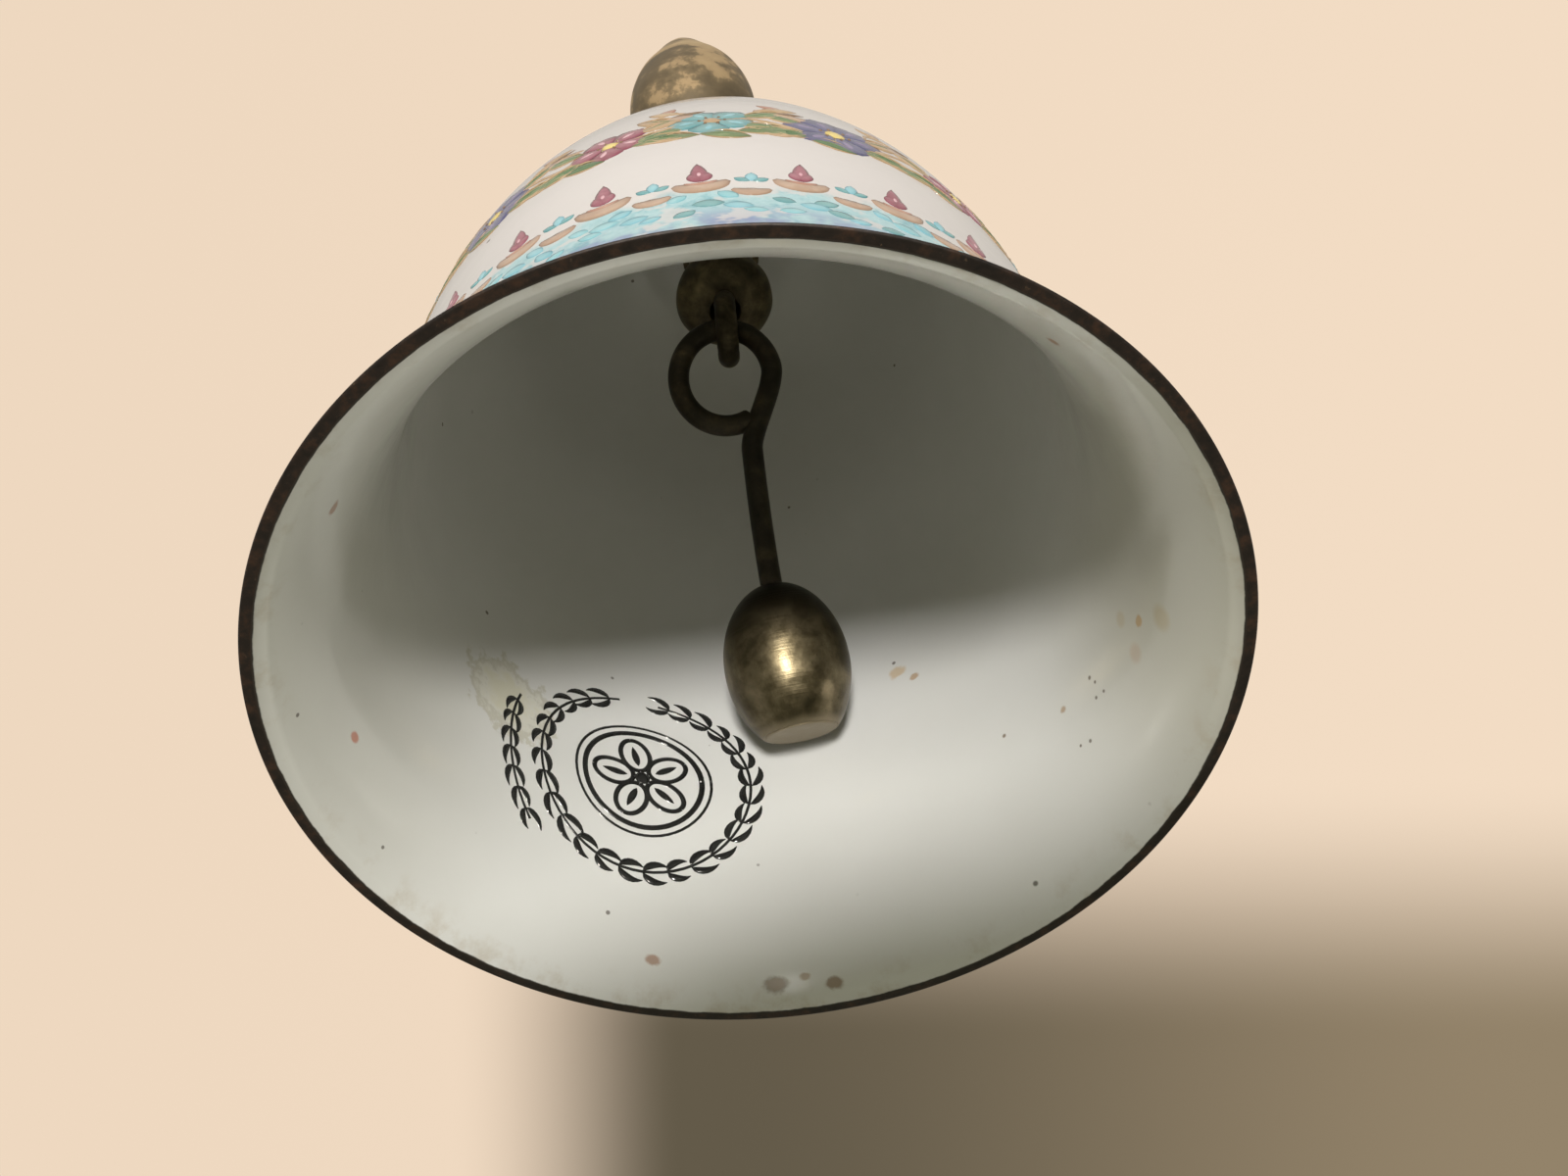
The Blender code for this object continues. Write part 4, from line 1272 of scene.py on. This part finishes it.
def build_flag():
    """A studio flag under the bell that takes the key light off the far lip. It shows only by its shadow."""
    near = 0.056
    # where the shadow's edge falls on the far wall: angle, height and radius in mm
    edge = [(-157.1, 3.0, 28.1), (-162.6, 4.4, 27.3), (-173.1, 6.5, 26.5), (162.3, 7.7, 26.1), (146.2, 5.8, 26.7), (130.0, 3.5, 27.8), (116.5, 1.6, 29.0)]
    upper = []
    for phi, z, r in edge:
        wall = Vector((r * math.sin(math.radians(phi)), -r * math.cos(math.radians(phi)), z)) * 0.001
        t = (near - KEY_DIR.dot(wall)) / KEY_DIR.dot(KEY_AT - wall)
        upper.append(wall + (KEY_AT - wall) * t)
    upper = [upper[0] + (upper[0] - upper[1]) * 12] + upper + [upper[-1] + Vector((0.06, 0, 0))]
    fall = Vector((0, 0, 1)) - KEY_DIR * KEY_DIR.z
    fall = fall.normalized() * -0.09
    bm = bmesh.new()
    sheets = []
    for shift in (Vector(), KEY_DIR * 0.001):
        top = [bm.verts.new(c + shift) for c in upper]
        low = [bm.verts.new(c + shift + fall) for c in upper]
        sheets.append(top + low[::-1])
    bm.faces.new(sheets[0])
    bm.faces.new(sheets[1][::-1])
    for k in range(len(sheets[0])):
        m = (k + 1) % len(sheets[0])
        bm.faces.new((sheets[0][k], sheets[1][k], sheets[1][m], sheets[0][m]))
    bmesh.ops.recalc_face_normals(bm, faces=bm.faces)
    mesh = bpy.data.meshes.new("flag")
    bm.to_mesh(mesh)
    bm.free()
    flag = add_object("flag", mesh)
    n = Nodes("flag_felt")
    a = n.noise(0.2, 2.0)
    mesh.materials.append(n.set(Base_Color=n.mix(a, (0.05, 0.05, 0.05), (0.03, 0.03, 0.03)), Roughness=0.9))
    flag.visible_camera = False
    flag.visible_glossy = False
    flag.visible_diffuse = False


build_flag()


def build_world():
    world = bpy.data.worlds.new("studio")
    world.use_nodes = True
    bpy.context.scene.world = world
    nt = world.node_tree
    nt.nodes.clear()
    out = nt.nodes.new("ShaderNodeOutputWorld")
    lightpath = nt.nodes.new("ShaderNodeLightPath")
    coord = nt.nodes.new("ShaderNodeTexCoord")
    # a wall behind and above the bell with a soft shadow across its lower right part, as directions from the bell
    ahead, right, down = (0.02493, 0.59658, 0.80217), (0.99605, 0.05356, -0.07079), (-0.0852, 0.80077, -0.59289)

    def dotted(axis):
        node = nt.nodes.new("ShaderNodeVectorMath")
        node.operation = "DOT_PRODUCT"
        node.inputs[1].default_value = axis
        nt.links.new(coord.outputs["Generated"], node.inputs[0])
        return node.outputs["Value"]

    def calc(op, a, b, c=None):
        node = nt.nodes.new("ShaderNodeMath")
        node.operation = op
        for socket, value in zip(node.inputs, (a, b, c)):
            if isinstance(value, bpy.types.NodeSocket):
                nt.links.new(value, socket)
            elif value is not None:
                socket.default_value = value
        return node.outputs[0]

    def soft_step(value, low, high):
        node = nt.nodes.new("ShaderNodeMapRange")
        node.interpolation_type = "SMOOTHSTEP"
        nt.links.new(value, node.inputs["Value"])
        node.inputs["From Min"].default_value = low
        node.inputs["From Max"].default_value = high
        return node.outputs[0]

    def blend(factor, a, b):
        node = nt.nodes.new("ShaderNodeMix")
        node.data_type = "RGBA"
        nt.links.new(factor, node.inputs[0])
        for socket, value in ((node.inputs[6], a), (node.inputs[7], b)):
            if isinstance(value, bpy.types.NodeSocket):
                nt.links.new(value, socket)
            else:
                socket.default_value = (*value, 1.0)
        return node.outputs[2]

    front = dotted(ahead)
    safe = calc("MAXIMUM", front, 0.2)
    across = calc("DIVIDE", dotted(right), safe)
    below = calc("DIVIDE", dotted(down), safe)
    shade = calc("MULTIPLY", soft_step(across, -0.215, -0.065), soft_step(below, 0.115, 0.285))
    shade = calc("MULTIPLY", shade, soft_step(front, 0.2, 0.4))
    shade = calc("MULTIPLY", shade, calc("SUBTRACT", 1.0, soft_step(below, 0.42, 0.85)))
    shade = calc("MULTIPLY", shade, calc("SUBTRACT", 1.0, soft_step(across, 0.58, 1.1)))
    tone = blend(soft_step(across, -0.05, 0.50), srgb(99, 90, 73), srgb(147, 131, 106))
    wall = blend(soft_step(across, -0.5, 0.5), srgb(238, 216, 192), srgb(242, 220, 196))
    painted = blend(shade, wall, tone)
    seen = nt.nodes.new("ShaderNodeBackground")
    nt.links.new(painted, seen.inputs["Color"])
    seen.inputs["Strength"].default_value = 1.0
    # what lights the bell: soft room light, brighter above and dim from below
    split = nt.nodes.new("ShaderNodeSeparateXYZ")
    nt.links.new(coord.outputs["Generated"], split.inputs[0])
    room = nt.nodes.new("ShaderNodeValToRGB")
    e = room.color_ramp.elements
    e[0].position, e[0].color = 0.30, (0.262, 0.260, 0.186, 1)
    e[1].position, e[1].color = 0.75, (0.50, 0.47, 0.42, 1)
    up = nt.nodes.new("ShaderNodeMath")
    up.operation = "MULTIPLY_ADD"
    nt.links.new(split.outputs[2], up.inputs[0])
    up.inputs[1].default_value = 0.5
    up.inputs[2].default_value = 0.5
    nt.links.new(up.outputs[0], room.inputs[0])
    lit = nt.nodes.new("ShaderNodeBackground")
    nt.links.new(room.outputs[0], lit.inputs["Color"])
    mix = nt.nodes.new("ShaderNodeMixShader")
    nt.links.new(lightpath.outputs["Is Camera Ray"], mix.inputs[0])
    nt.links.new(lit.outputs[0], mix.inputs[1])
    nt.links.new(seen.outputs[0], mix.inputs[2])
    nt.links.new(mix.outputs[0], out.inputs["Surface"])


build_world()

# ------------------------------------------------------------------------------------------------ camera
camera_data = bpy.data.cameras.new("camera")
camera_data.sensor_width = 36.0
camera_data.lens = 36.0
camera_data.clip_start = 0.005
camera_data.clip_end = 20.0
camera = bpy.data.objects.new("camera", camera_data)
bpy.context.scene.collection.objects.link(camera)
turn = Matrix(((0.99625, 0.08313, -0.02412), (0.05254, -0.80215, -0.5948), (-0.06879, 0.5913, -0.80351)))
camera.matrix_world = Matrix.Translation((-0.0002, -0.0629, -0.0739)) @ turn.to_quaternion().to_matrix().to_4x4()
bpy.context.scene.camera = camera
bpy.context.scene.view_settings.view_transform = "Standard"
